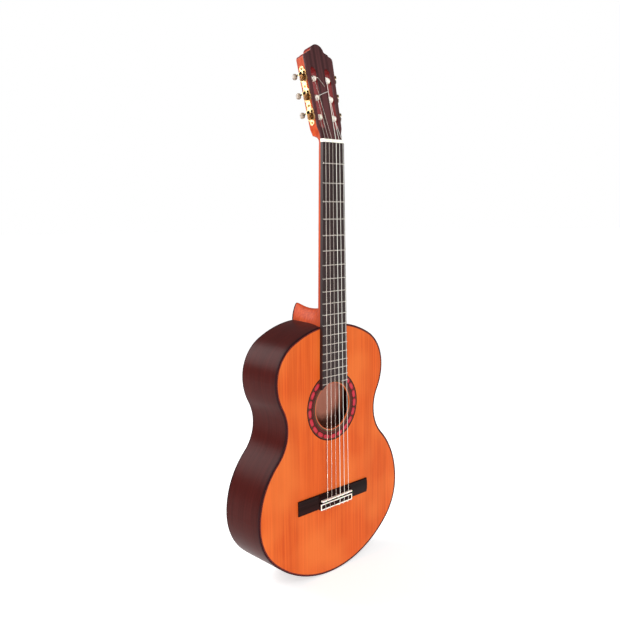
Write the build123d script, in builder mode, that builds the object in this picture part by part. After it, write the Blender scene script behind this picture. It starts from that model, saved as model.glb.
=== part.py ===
from build123d import *
import os
from math import acos, atan2, cos, degrees, hypot, pi, radians, sin, sqrt

# A classical guitar, built as it comes apart on the bench.
# Millimetres. The origin lies on the centre line where the nut's front edge meets the plane in which the
# fingerboard is glued to the neck: +X is the treble side, +Y runs from the front to the back of the body,
# +Z runs up the neck to the head. The soundboard's outer face is the plane y = 0.

# ---------------------------------------------------------------- driving dimensions
scale_length = 650.0  # nut to 12th fret, twice over
compensation = 1.5  # added to the string length at the saddle
body_fret = 12  # the fret at the top edge of the body
fret_count = 19

body_length = 478.0
lower_half_width, lower_height = 180.5, 139.0  # height is above the tail end
waist_half_width, waist_height = 114.0, 299.0
upper_half_width, upper_height = 137.0, 385.0
lower_tail_radius, lower_flank_radius = 110.0, 150.0
upper_crown_radius = 77.0
heel_depth, tail_depth = 97.2, 99.7  # soundboard face to back, along the centre line
back_arch_radius = 4500.0

top_thickness, back_thickness, side_thickness = 2.4, 2.5, 2.2
binding_width, binding_depth = 1.8, 4.0
lining_width, lining_depth = 5.0, 12.0
hole_radius, rosette_inner, rosette_outer, rosette_depth = 43.5, 44.3, 65.0, 1.2
hole_height = 323.5  # soundhole centre above the tail end

nut_width, nut_length = 52.0, 5.5
body_fret_width = 62.0
board_thickness = 6.5
neck_depth_nut, neck_depth_heel = 14.5, 17.8  # neck wood below the fingerboard

head_tilt = 13.0  # degrees
head_thickness, overlay_thickness = 20.0, 2.5
head_face_drop = 3.5  # the head's face where its plane crosses the nut's front edge
slot_centre, slot_width, slot_start, slot_end = 17.0, 15.0, 25.0, 136.5

roller_spacing, first_roller = 35.0, 48.0  # along the head from the nut
roller_depth = 9.0  # roller axis below the head's face
roller_radius, journal_radius = 5.0, 2.5
gear_teeth, gear_module = 14, 0.75
worm_offset = 7.6  # worm axis beyond the roller axis
gear_height = 4.9  # gear's middle plane above the head's side

string_diameters = {6: 1.09, 5: 0.89, 4: 0.74, 3: 1.03, 2: 0.82, 1: 0.71}
nut_spread, saddle_spread = 43.0, 57.0  # outer string to outer string
fret_height, fret_width = 1.1, 2.6

# ---------------------------------------------------------------- derived places
body_top = -scale_length * (1 - 2 ** (-body_fret / 12))
body_tail = body_top - body_length
hole_z = body_tail + hole_height
saddle_z = -(scale_length + compensation)
board_face = -board_thickness
fret_face = board_face - fret_height
nut_string_y = fret_face - 0.6  # underside of every string at the nut
saddle_string_y = {n: -12.2 - 0.24 * (n - 1) for n in string_diameters}
tip = radians(head_tilt)

HEAD = Plane(origin=(0, -head_face_drop, 0), x_dir=(1, 0, 0), z_dir=(0, -cos(tip), sin(tip)))
FRONT = Plane.XZ  # sketches here read as seen from the front; extruding by a negative amount goes deeper

os.makedirs("parts", exist_ok=True)


def save(piece, name):
    """Label a finished piece and write it as parts/name.step."""
    piece.label = name
    export_step(piece, f"parts/{name}.step")


# ---------------------------------------------------------------- body outline
# Half of the outline is six tangent arcs: tail, lower flank (two radii that meet at the widest point), waist,
# upper flank (two radii again) and crown. The radii that tangency fixes are worked out here.
tail_radius = ((lower_half_width - lower_tail_radius) ** 2 + lower_height**2 - lower_tail_radius**2) / (
    2 * (lower_height - lower_tail_radius)
)
flank_step = lower_half_width - waist_half_width - lower_flank_radius
waist_rise = waist_height - lower_height
waist_radius = (flank_step**2 + waist_rise**2 - lower_flank_radius**2) / (
    2 * (lower_half_width - waist_half_width)
)
shoulder_rise = upper_height - waist_height
shoulder_step = waist_half_width + waist_radius - upper_half_width
upper_flank_radius = (shoulder_step**2 + shoulder_rise**2 - waist_radius**2) / (
    2 * (upper_half_width - waist_half_width)
)
crown_rise = body_length - upper_height
crown_radius = ((upper_half_width - upper_crown_radius) ** 2 + crown_rise**2 - upper_crown_radius**2) / (
    2 * (crown_rise - upper_crown_radius)
)


def bearing(start, end):
    """Angle in degrees of the line from one centre to another."""
    return degrees(atan2(end[1] - start[1], end[0] - start[0]))


def body_face(inset):
    """The body's outline as a face, moved inwards by inset."""
    tail = (0, body_tail + tail_radius)
    lower = (lower_half_width - lower_tail_radius, body_tail + lower_height)
    flank = (lower_half_width - lower_flank_radius, body_tail + lower_height)
    waist = (waist_half_width + waist_radius, body_tail + waist_height)
    shoulder = (upper_half_width - upper_flank_radius, body_tail + upper_height)
    upper = (upper_half_width - upper_crown_radius, body_tail + upper_height)
    crown = (0, body_top - crown_radius)
    tail_turn = bearing(tail, lower)
    flank_turn = bearing(flank, waist)
    shoulder_turn = bearing(shoulder, waist)
    crown_turn = bearing(crown, upper)
    with BuildSketch() as face:
        with BuildLine():
            CenterArc(tail, tail_radius - inset, -90, tail_turn + 90)
            CenterArc(lower, lower_tail_radius - inset, tail_turn, -tail_turn)
            CenterArc(flank, lower_flank_radius - inset, 0, flank_turn)
            CenterArc(waist, waist_radius + inset, flank_turn + 180, shoulder_turn - flank_turn)
            CenterArc(shoulder, upper_flank_radius - inset, shoulder_turn, -shoulder_turn)
            CenterArc(upper, upper_crown_radius - inset, 0, crown_turn)
            CenterArc(crown, crown_radius - inset, crown_turn, 90 - crown_turn)
            mirror(about=Plane.YZ)
        make_face()
    return face.sketch


def body_prism(inset, front, back):
    """The outline, inset, as a solid between two depths."""
    with BuildPart() as prism:
        with BuildSketch(FRONT.offset(-front)):
            add(body_face(inset))
        extrude(amount=front - back)
    return prism.part


def arch_space(rise):
    """Everything in front of the back's arched outer surface, that surface moved forwards by rise."""
    slope = (tail_depth - heel_depth) / body_length
    overrun = 60.0
    start = Plane(
        origin=(0, heel_depth - slope * overrun - rise, body_top + overrun),
        x_dir=(1, 0, 0),
        z_dir=(0, slope, -1),
    )
    half = 230.0
    sag = back_arch_radius - sqrt(back_arch_radius**2 - half**2)
    with BuildPart() as space:
        with BuildSketch(start):
            with BuildLine():
                ThreePointArc((-half, sag), (0, 0), (half, sag))
                Polyline((half, sag), (half, 130), (-half, 130), (-half, sag))
            make_face()
        extrude(amount=body_length + 2 * overrun)
    return space.part


outer_arch = arch_space(0)
inner_arch = arch_space(back_thickness)
whole_body = body_prism(0, -20, 130)

# ---------------------------------------------------------------- soundboard and rosette
with BuildPart() as soundboard:
    with BuildSketch(FRONT):
        add(body_face(binding_width))
        with Locations((0, hole_z)):
            Circle(hole_radius, mode=Mode.SUBTRACT)
    extrude(amount=-top_thickness)
    with BuildSketch(FRONT):
        with Locations((0, hole_z)):
            Circle(rosette_outer)
            Circle(rosette_inner, mode=Mode.SUBTRACT)
    extrude(amount=-rosette_depth, mode=Mode.SUBTRACT)
save(soundboard.part, "soundboard")

with BuildPart() as rosette:
    with BuildSketch(FRONT):
        with Locations((0, hole_z)):
            Circle(rosette_outer)
            Circle(rosette_inner, mode=Mode.SUBTRACT)
    extrude(amount=-rosette_depth)
save(rosette.part, "rosette")

# ---------------------------------------------------------------- back, sides and bindings
with BuildPart() as back:
    add(body_prism(binding_width, 60, 120))
    add(outer_arch, mode=Mode.INTERSECT)
    add(inner_arch, mode=Mode.SUBTRACT)
save(back.part, "back")

with BuildPart() as top_binding:
    add(body_prism(0, 0, binding_depth))
    add(body_prism(binding_width, -1, binding_depth + 1), mode=Mode.SUBTRACT)
save(top_binding.part, "top_binding")

with BuildPart() as back_binding:
    add(body_prism(0, 60, 120))
    add(body_prism(binding_width, 50, 130), mode=Mode.SUBTRACT)
    add(outer_arch, mode=Mode.INTERSECT)
    add(arch_space(binding_depth), mode=Mode.SUBTRACT)
save(back_binding.part, "back_binding")

neck_core = 6.0  # half the neck wood between the two side slots
graft_half = 5.0
with BuildPart() as rim:
    add(body_prism(0, top_thickness, 130))
    add(body_prism(side_thickness, top_thickness - 1, 131), mode=Mode.SUBTRACT)
    add(inner_arch, mode=Mode.INTERSECT)
    add(top_binding.part, mode=Mode.SUBTRACT)
    add(back_binding.part, mode=Mode.SUBTRACT)

for side_name, sense in (("side_bass", -1), ("side_treble", 1)):
    with BuildPart() as side:
        add(rim.part)
        with BuildSketch(FRONT.offset(20)):
            with Locations((sense * (200 + neck_core), body_top)):
                Rectangle(400, 300)
            with Locations((sense * (200 + graft_half), body_tail + 100)):
                Rectangle(400, 700)
        extrude(amount=-180, mode=Mode.INTERSECT)
        with BuildSketch(FRONT.offset(20)):
            with Locations((0, body_top)):
                Rectangle(2 * neck_core, 40)
        extrude(amount=-180, mode=Mode.SUBTRACT)
    save(side.part, side_name)

with BuildPart() as end_graft:
    add(rim.part)
    with BuildSketch(FRONT.offset(20)):
        with Locations((0, body_tail)):
            Rectangle(2 * graft_half, 40)
    extrude(amount=-180, mode=Mode.INTERSECT)
save(end_graft.part, "end_graft")

# ---------------------------------------------------------------- blocks, linings and braces inside
block_half = 33.0
tail_block_length = 18.0
inside = body_prism(side_thickness, top_thickness, 130)
with BuildPart() as tail_block:
    add(inside)
    with BuildSketch(FRONT.offset(20)):
        with Locations((0, body_tail)):
            Rectangle(2 * block_half, 2 * (tail_block_length + side_thickness))
    extrude(amount=-180, mode=Mode.INTERSECT)
    add(inner_arch, mode=Mode.INTERSECT)
save(tail_block.part, "tail_block")

with BuildPart() as block_room:
    for block_z in (body_top, body_tail):
        with BuildSketch(FRONT.offset(20)):
            with Locations((0, block_z)):
                Rectangle(2 * block_half, 140)
        extrude(amount=-180)

with BuildPart() as lining_ring:
    add(body_prism(side_thickness, top_thickness, 130))
    add(body_prism(side_thickness + lining_width, 0, 131), mode=Mode.SUBTRACT)
    add(inner_arch, mode=Mode.INTERSECT)
    add(block_room.part, mode=Mode.SUBTRACT)

with BuildPart() as top_linings:
    add(lining_ring.part)
    add(body_prism(0, top_thickness + lining_depth, 130), mode=Mode.SUBTRACT)
save(top_linings.part, "top_linings")

with BuildPart() as back_linings:
    add(lining_ring.part)
    add(arch_space(back_thickness + lining_depth), mode=Mode.SUBTRACT)
save(back_linings.part, "back_linings")

room = body_prism(side_thickness + lining_width, top_thickness, 130)
bar_width, bar_height = 6.0, 14.0
bar_places = (hole_z + 66, hole_z - 62)
with BuildPart() as harmonic_bars:
    with BuildSketch(FRONT.offset(-top_thickness)):
        for bar_z in bar_places:
            with Locations((0, bar_z)):
                Rectangle(400, bar_width)
    extrude(amount=-bar_height)
    add(room, mode=Mode.INTERSECT)
save(harmonic_bars.part, "harmonic_bars")

bridge_width, bridge_length = 180.0, 28.0
bridge_top = saddle_z + 10.5
bridge_middle = bridge_top - bridge_length / 2
patch_thickness = 1.4
with BuildPart() as bridge_patch:
    with BuildSketch(FRONT.offset(-top_thickness)):
        with Locations((0, bridge_middle)):
            RectangleRounded(bridge_width + 10, bridge_length + 8, 4)
    extrude(amount=-patch_thickness)
save(bridge_patch.part, "bridge_patch")

fan_count, fan_pitch, fan_splay = 7, 34.0, 4.0
fan_width, fan_height, fan_length = 5.0, 4.5, 226.0
fan_z = bar_places[1] - bar_width / 2 - 4 - fan_length / 2
with BuildPart() as fan_braces:
    with BuildSketch(FRONT.offset(-top_thickness)):
        for index in range(fan_count):
            rank = index - (fan_count - 1) / 2
            with Locations(Location((rank * fan_pitch, fan_z, 0), (0, 0, rank * fan_splay))):
                Rectangle(fan_width, fan_length - 16 * abs(rank))
    extrude(amount=-fan_height)
    add(room, mode=Mode.INTERSECT)
    add(bridge_patch.part, mode=Mode.SUBTRACT)
save(fan_braces.part, "fan_braces")

back_bar_height = 16.0
back_bar_places = (body_top - 105, body_top - 232, body_top - 352)
with BuildPart() as back_braces:
    with BuildSketch(FRONT):
        for bar_z in back_bar_places:
            with Locations((0, bar_z)):
                Rectangle(400, bar_width)
    extrude(amount=-130)
    add(room, mode=Mode.INTERSECT)
    add(inner_arch, mode=Mode.INTERSECT)
    add(arch_space(back_thickness + back_bar_height), mode=Mode.SUBTRACT)
save(back_braces.part, "back_braces")

strip_half, strip_thickness = 8.0, 1.8
foot_length = 75.0
with BuildPart() as back_centre_strip:
    with BuildSketch(FRONT):
        with Locations((0, (body_top - foot_length + body_tail + tail_block_length + 2) / 2)):
            Rectangle(2 * strip_half, body_length - foot_length - tail_block_length - 10)
    extrude(amount=-130)
    add(inner_arch, mode=Mode.INTERSECT)
    add(arch_space(back_thickness + strip_thickness), mode=Mode.SUBTRACT)
    add(back_braces.part, mode=Mode.SUBTRACT)
save(back_centre_strip.part, "back_centre_strip")


# ---------------------------------------------------------------- neck with its heel, foot and head
def rounded_section(half_width, depth, fullness):
    """Closed profile, flat towards +y, that bulges to depth below it; fullness of 1 is nearly square."""
    with BuildSketch() as section:
        with BuildLine():
            Line((-half_width, 0), (half_width, 0))
            Spline(
                (half_width, 0),
                (half_width * (0.62 + 0.33 * fullness), -depth * (0.62 + 0.33 * fullness)),
                (0, -depth),
                (-half_width * (0.62 + 0.33 * fullness), -depth * (0.62 + 0.33 * fullness)),
                (-half_width, 0),
                tangents=((0, -1), (0, 1)),
            )
        make_face()
    return section.sketch


def neck_width(z):
    """Half-width of the fingerboard and neck at height z."""
    return (nut_width + (body_fret_width - nut_width) * z / body_top) / 2


def neck_plane(z):
    """Plane across the neck at height z: its y direction points to the front."""
    return Plane(origin=(0, 0, z), x_dir=(1, 0, 0), z_dir=(0, 0, 1)).rotated((0, 0, 180))


head_root = 16.0  # distance along the head at which the neck has become the head
head_wood = HEAD.offset(-overlay_thickness)
root_plane = Plane(
    origin=head_wood.from_local_coords((0, head_root, 0)), x_dir=(-1, 0, 0), z_dir=head_wood.y_dir
)
shaft_end = -6  # where the shaft's even taper stops and the spread into the head begins


def shaft_section(z):
    """The neck's section at height z on its even taper."""
    depth = neck_depth_nut + (neck_depth_heel - neck_depth_nut) * z / body_top
    return rounded_section(neck_width(z), depth, 0.22)


with BuildPart() as shaft:
    for shaft_z in (body_top - 4, -165, shaft_end):
        with BuildSketch(neck_plane(shaft_z)):
            add(shaft_section(shaft_z))
    loft()
with BuildPart() as head_transition:
    with BuildSketch(neck_plane(shaft_end)):
        add(shaft_section(shaft_end))
    with BuildSketch(neck_plane(nut_length - 1)):
        add(rounded_section(nut_width / 2 - 0.3, neck_depth_nut + 0.6, 0.4))
    with BuildSketch(root_plane):
        add(rounded_section(26.0, head_thickness - overlay_thickness, 0.95))
    loft()

# The heel runs from under the neck to the back; each entry is depth, half-width and height above the body.
heel_profile = (
    (6, 29, 62),
    (14, 27, 42),
    (22, 24, 32.5),
    (36, 20, 26),
    (56, 16.5, 24.5),
    (76, 14, 27),
    (94.2, 12.5, 31.5),
)
heel_root = 12.0  # how far the sections reach down into the body before they are trimmed
with BuildPart() as heel:
    for depth, half_width, rise in heel_profile:
        with BuildSketch(Plane(origin=(0, depth, body_top - heel_root), x_dir=(-1, 0, 0), z_dir=(0, 1, 0))):
            add(rounded_section(half_width, rise + heel_root, 0.25).mirror(Plane.XZ))
    loft()
    add(whole_body, mode=Mode.SUBTRACT)

with BuildPart() as neck_block:
    add(inside)
    with BuildSketch(FRONT.offset(20)):
        with Locations((0, body_top)):
            Rectangle(2 * block_half - 1, 50)
    extrude(amount=-180, mode=Mode.INTERSECT)
    add(inner_arch, mode=Mode.INTERSECT)

with BuildPart() as foot:
    with BuildSketch(FRONT):
        with Locations((0, body_top - foot_length / 2)):
            Rectangle(2 * block_half - 1, foot_length)
    extrude(amount=-130)
    add(inside, mode=Mode.INTERSECT)
    add(inner_arch, mode=Mode.INTERSECT)
    add(arch_space(back_thickness + 12), mode=Mode.SUBTRACT)


head_flare = 0.045  # the head's flanks spread by this much for each millimetre of length
crown_s = 152.0


def head_half_width(s):
    """Half-width of the head at distance s along it, on the straight flank."""
    return 29.6 + (s - 24) * head_flare


def head_face(start):
    """The head's outline from distance start to its crown."""
    corner = head_half_width(crown_s)
    with BuildSketch() as outline:
        with BuildLine():
            Polyline((0, start), (25.9, start), (26.0, head_root))
            Spline(
                (26.0, head_root),
                (head_half_width(30), 30),
                tangents=((0.12, 1), (head_flare, 1)),
            )
            Line((head_half_width(30), 30), (corner, crown_s))
            ThreePointArc((corner, crown_s), (corner - 2.2, crown_s + 5.4), (28.5, crown_s + 7.5))
            ThreePointArc((28.5, crown_s + 7.5), (26.3, crown_s + 8.4), (25.5, crown_s + 10.6))
            Line((25.5, crown_s + 10.6), (18.5, crown_s + 13))
            ThreePointArc((18.5, crown_s + 13), (16.0, crown_s + 14.6), (15.0, crown_s + 17.5))
            ThreePointArc((15.0, crown_s + 17.5), (8.9, crown_s + 24.6), (0, crown_s + 27.2))
            Line((0, crown_s + 27.2), (0, start))
        make_face()
        mirror(about=Plane.YZ)
    return outline.sketch


def across_head(x):
    """Plane through the head, square to the rollers: x runs along the head and y out of its face."""
    return Plane(origin=HEAD.from_local_coords((x, 0, 0)), x_dir=HEAD.y_dir, z_dir=(-1, 0, 0))


with BuildPart() as head_slots:
    with BuildSketch(HEAD.offset(5)):
        for sense in (-1, 1):
            with Locations((sense * slot_centre, (slot_start + slot_end) / 2)):
                SlotOverall(slot_end - slot_start, slot_width, rotation=90)
    extrude(amount=-(head_thickness + 10))
    # a ramp at the nut end of each slot clears the strings on their way down
    for sense in (-1, 1):
        with BuildSketch(across_head(sense * slot_centre + 6)):
            Polygon((slot_start - 8, 0.05), (slot_start + 8, 0.05), (slot_start + 8, -4.5), align=None)
        extrude(amount=12)

# ---------------------------------------------------------------- machine heads: where everything sits
# The treble side is drawn and the bass side mirrored. In this plane x runs along the head's flank from
# side_start, y out of the head's face and z outwards from the flank.
side_start = 32.5
flank = Vector(head_flare, 1, 0).normalized()
SIDE = Plane(
    origin=HEAD.from_local_coords((head_half_width(side_start), side_start, 0)),
    x_dir=HEAD.x_dir * flank.X + HEAD.y_dir * flank.Y,
    z_dir=HEAD.x_dir * flank.Y - HEAD.y_dir * flank.X,
)
roller_places = [first_roller + index * roller_spacing for index in range(3)]
strings_of_side = {"treble": (1, 2, 3), "bass": (6, 5, 4)}
axis_lean = 0.6  # the leaning roller axes reach this much further along by the middle of the slot

plate_thickness, journal_clearance, barrel_clearance = 1.2, 0.05, 0.3
plate_length, plate_width, plate_middle = 106.0, 11.0, -10.5
gear_thickness = 4.0
worm_pitch = gear_module * pi
worm_length = 7.0
shaft_radius, thread_radius = 1.5, 3.1
shaft_front, shaft_back = -2.2, -29.0
lug_places, lug_thickness = (-3.9, -14.1), 2.0
web_end = 5.2  # the rollers stop this far from the centre line


def roller_u(place):
    """Distance of a roller axis along the flank."""
    return place - side_start - axis_lean


def roller_end(place):
    """Height of a roller's inner end, below the flank."""
    return -(head_half_width(place) - web_end)


def at(u, height):
    """One place on the flank's plane: distance along it and height above the head's face."""
    return Locations((u, height))


def worm_plane(place):
    """Plane square to a worm shaft where the shaft passes its gear: z points out of the head's face."""
    middle = SIDE.from_local_coords((roller_u(place) + worm_offset, -roller_depth, gear_height))
    return Plane(origin=middle, x_dir=SIDE.x_dir, z_dir=SIDE.y_dir)


def both_sides(name, piece):
    """Save a piece of the treble side and its mirror image for the bass side."""
    save(piece, f"{name}_treble")
    save(mirror(piece, about=Plane.YZ), f"{name}_bass")


# ---------------------------------------------------------------- machine plates and their screws
screw_places = (4.5, 35.0, 70.0, 101.5)
with BuildPart() as plate_screw_set:
    with BuildSketch(SIDE.offset(plate_thickness)):
        with Locations([(u, plate_middle) for u in screw_places]):
            Circle(2.2)
    extrude(amount=0.9, taper=35)
    with BuildSketch(SIDE.offset(plate_thickness)):
        with Locations([(u, plate_middle) for u in screw_places]):
            Circle(0.95)
    extrude(amount=-5.5)
    with BuildSketch(SIDE.offset(plate_thickness + 0.45)):
        with Locations([(u, plate_middle) for u in screw_places]):
            Rectangle(5, 0.5, rotation=30)
    extrude(amount=2, mode=Mode.SUBTRACT)

with BuildPart() as plate:
    with BuildSketch(SIDE):
        with at(plate_length / 2, plate_middle):
            SlotOverall(plate_length, plate_width)
        for place in roller_places:
            with at(roller_u(place), -roller_depth - 1.0):
                Circle(9.0)
            with at(roller_u(place) + worm_offset + 1, plate_middle):
                Rectangle(9, 16.5)
    extrude(amount=plate_thickness)
    for place in roller_places:
        for lug in lug_places:
            with BuildSketch(SIDE.offset(plate_thickness)):
                with at(roller_u(place) + worm_offset, lug):
                    Rectangle(5.4, lug_thickness)
            extrude(amount=gear_height - plate_thickness + 2.4)
        with BuildSketch(SIDE):
            with at(roller_u(place), -roller_depth):
                Circle(journal_radius + journal_clearance)
        extrude(amount=plate_thickness, mode=Mode.SUBTRACT)
        with BuildSketch(worm_plane(place).offset(12)):
            Circle(shaft_radius + journal_clearance)
        extrude(amount=-24, mode=Mode.SUBTRACT)
    add(plate_screw_set.part, mode=Mode.SUBTRACT)
both_sides("machine_plate", plate.part)

bass_screw_set = mirror(plate_screw_set.part, about=Plane.YZ)
plate_screws = Compound(children=[*plate_screw_set.solids(), *bass_screw_set.solids()])
save(plate_screws, "plate_screws")

# ---------------------------------------------------------------- rollers, gears, worms and buttons
with BuildPart() as roller_room:
    for place in roller_places:
        with BuildSketch(SIDE.offset(1)):
            with at(roller_u(place), -roller_depth):
                Circle(roller_radius + barrel_clearance)
        extrude(amount=roller_end(place) - 1.3)

# The worm shaft is drawn upright about its own gear's middle plane, then placed three times.
thread_turns = 6
thread_depth = thread_radius - shaft_radius + 0.15
with BuildPart() as thread:
    with BuildLine() as thread_path:
        Helix(
            worm_pitch,
            thread_turns * worm_pitch,
            shaft_radius - 0.15,
            center=(0, 0, -thread_turns * worm_pitch / 2),
        )
    with BuildSketch(Plane(thread_path.line @ 0, x_dir=(1, 0, 0), z_dir=(0, 1, 0))):
        Polygon((0, -0.5), (thread_depth, -0.22), (thread_depth, 0.22), (0, 0.5), align=None)
    sweep(path=thread_path.line, is_frenet=True)
    with BuildSketch(Plane.XY.offset(-worm_length / 2)):
        Circle(thread_radius + 1)
    extrude(amount=worm_length, mode=Mode.INTERSECT)

with BuildPart() as worm:
    add(thread.part)
    with BuildSketch(Plane.XY.offset(shaft_back + roller_depth)):
        Circle(shaft_radius)
    extrude(amount=shaft_front - shaft_back)

button_width, button_start, button_length = 10.8, -22.4, 9.2
with BuildPart() as button:
    with BuildSketch(Plane.XZ.offset(-3.2)):
        with Locations((0, button_start + roller_depth - button_length / 2)):
            RectangleRounded(button_width, button_length, 4.0)
    extrude(amount=6.4)
    fillet(button.edges().filter_by(lambda edge: abs(abs(edge.center().Y) - 3.2) < 0.01), 2.4)
    with BuildSketch(Plane.XY.offset(shaft_back + roller_depth)):
        Circle(shaft_radius)
    extrude(amount=20, mode=Mode.SUBTRACT)

tooth_root, tooth_tip = 4.25, 5.85
for index, place in enumerate(roller_places):
    with BuildPart() as roller:
        with BuildSketch(SIDE.offset(-1.5)):
            with at(roller_u(place), -roller_depth):
                Circle(roller_radius)
        extrude(amount=roller_end(place) + 1.5)
        with BuildSketch(SIDE.offset(-1.5)):
            with at(roller_u(place), -roller_depth):
                Circle(journal_radius)
        extrude(amount=1.5 + gear_height + gear_thickness / 2)
        with BuildSketch(SIDE.offset(gear_height + gear_thickness / 2)):
            with at(roller_u(place), -roller_depth):
                Circle(1.2)
        extrude(amount=-6, mode=Mode.SUBTRACT)
        # the cross hole that takes the string
        hole_height_in_slot = -(head_half_width(place) - slot_centre) + 1
        hole_middle = SIDE.from_local_coords((roller_u(place), 0, hole_height_in_slot))
        with BuildSketch(Plane(hole_middle, z_dir=SIDE.y_dir)):
            Circle(0.8)
        extrude(amount=-20, mode=Mode.SUBTRACT)

    with BuildPart() as gear:
        with BuildSketch(SIDE.offset(gear_height - gear_thickness / 2)):
            with at(roller_u(place), -roller_depth):
                Circle(tooth_root)
                with PolarLocations(0, gear_teeth):
                    Polygon(
                        (tooth_root - 0.6, 0.72),
                        (tooth_root - 0.6, -0.72),
                        (tooth_tip, -0.28),
                        (tooth_tip, 0.28),
                        align=None,
                    )
        extrude(amount=gear_thickness)
        with BuildSketch(SIDE.offset(plate_thickness + 0.3)):
            with at(roller_u(place), -roller_depth):
                Circle(4.0)
        extrude(amount=gear_height - gear_thickness / 2 - plate_thickness - 0.3)
        with BuildSketch(SIDE):
            with at(roller_u(place), -roller_depth):
                Circle(journal_radius)
        extrude(amount=20, mode=Mode.SUBTRACT)

    with BuildPart() as gear_screw:
        with BuildSketch(SIDE.offset(gear_height + gear_thickness / 2)):
            with at(roller_u(place), -roller_depth):
                Circle(3.0)
        extrude(amount=1.1, taper=15)
        with BuildSketch(SIDE.offset(gear_height + gear_thickness / 2)):
            with at(roller_u(place), -roller_depth):
                Circle(1.2)
        extrude(amount=-5.5)
        with BuildSketch(SIDE.offset(gear_height + gear_thickness / 2 + 0.6)):
            with at(roller_u(place), -roller_depth):
                Rectangle(7, 0.6, rotation=20)
        extrude(amount=2, mode=Mode.SUBTRACT)

    for side, numbers in strings_of_side.items():
        number = numbers[index]
        gear_set = Compound(children=[gear.part, gear_screw.part])
        placed_worm = worm.part.moved(worm_plane(place).location)
        pieces = {"roller": roller.part, "gear": gear_set, "worm": placed_worm}
        pieces["button"] = button.part.moved(worm_plane(place).location)
        for piece_name, piece in pieces.items():
            placed = piece if side == "treble" else mirror(piece, about=Plane.YZ)
            save(placed, f"{piece_name}_{number}")

# ---------------------------------------------------------------- strings
# Each string runs from the top of its roller over the nut and the saddle, through its hole in the tie block,
# back over the block's top, and ends against the front of the block.
tie_hole_y, tie_top_y = -5.6, -10.2
tie_front, tie_back = saddle_z - 6.0, bridge_top - bridge_length


def string_x(number, spread):
    """Sideways place of a string where the outer two are spread apart."""
    return (3.5 - number) / 5 * spread


def tangent_on_roller(place, radius, height):
    """Where a string leaves the front of its roller: distance along the head and height above its face."""
    along, rise = nut_length - place, height + roller_depth
    reach = hypot(along, rise)
    angle = atan2(rise, along) - acos(radius / reach)
    return place + radius * cos(angle), -roller_depth + radius * sin(angle)


def roller_x(number, place_index):
    """Sideways place of a string at its roller."""
    return (1 if number < 4 else -1) * (17.5, 16.0, 15.2)[place_index]


def string_route(number):
    """Corner points and radii of one string."""
    half = string_diameters[number] / 2
    index = min(number, 7 - number) - 1
    place = roller_places[index]
    rise = -nut_string_y - head_face_drop + half
    s, height = tangent_on_roller(place, roller_radius + half + barrel_clearance, rise)
    x_nut, x_saddle = string_x(number, nut_spread), string_x(number, saddle_spread)
    sense = 1 if number < 4 else -1
    points = [
        HEAD.from_local_coords((roller_x(number, index), s, height)),
        Vector(x_nut, nut_string_y - half, 0.6),
        Vector(x_saddle, saddle_string_y[number] - half, saddle_z),
        Vector(x_saddle, tie_hole_y, tie_front - 0.8),
        Vector(x_saddle, tie_hole_y, tie_back - 1.4 - half),
        Vector(x_saddle + sense * 0.6, tie_top_y - half, tie_back - 1.2 - half),
        Vector(x_saddle + sense * 2.6, tie_top_y - half, tie_front + 0.4 + half),
    ]
    return points, (9.0, 2.2, 1.5, 1.3, 1.3)


strings = {}
for number in string_diameters:
    route, bends = string_route(number)
    with BuildPart() as string:
        with BuildLine() as string_path:
            FilletPolyline(*route, radius=bends)
        with BuildSketch(Plane(string_path.line @ 0, z_dir=string_path.line % 0)):
            Circle(string_diameters[number] / 2)
        sweep(path=string_path.line)
    strings[number] = string.part
    length = sum(edge.length for edge in string_path.edges())
    solid_length = string.part.volume / (pi * (string_diameters[number] / 2) ** 2)
    print(f"string {number}: length {length:.1f}, and {solid_length:.1f} by its volume")
save(Compound(children=[strings[number] for number in (6, 5, 4)]), "bass_strings")
save(Compound(children=[strings[number] for number in (3, 2, 1)]), "treble_strings")

winding_turns = 4
for number, diameter in string_diameters.items():
    place_index = min(number, 7 - number) - 1
    place = roller_places[place_index]
    lift = roller_radius + diameter / 2 + 0.02
    pitch = diameter + 0.08
    first = -(head_half_width(place) - roller_x(1, place_index)) + diameter + 0.4
    with BuildPart() as winding:
        with BuildLine() as coil:
            Helix(pitch, winding_turns * pitch, lift)
        with BuildSketch(Plane(coil.line @ 0, z_dir=coil.line % 0)):
            Circle(diameter / 2)
        sweep(path=coil.line, is_frenet=True)
    coil_start = SIDE.from_local_coords((roller_u(place), -roller_depth, first))
    axis = Plane(coil_start, x_dir=SIDE.y_dir, z_dir=SIDE.z_dir)
    wound = winding.part.moved(axis.location)
    save(wound if number < 4 else mirror(wound, about=Plane.YZ), f"winding_{number}")

# ---------------------------------------------------------------- neck, finished with its slots and holes
with BuildPart() as head_overlay:
    with BuildSketch(HEAD):
        add(head_face(nut_length + 0.9))
    extrude(amount=-overlay_thickness)
    add(head_slots.part, mode=Mode.SUBTRACT)
    for piece in strings.values():
        add(piece, mode=Mode.SUBTRACT)
save(head_overlay.part, "head_overlay")

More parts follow.
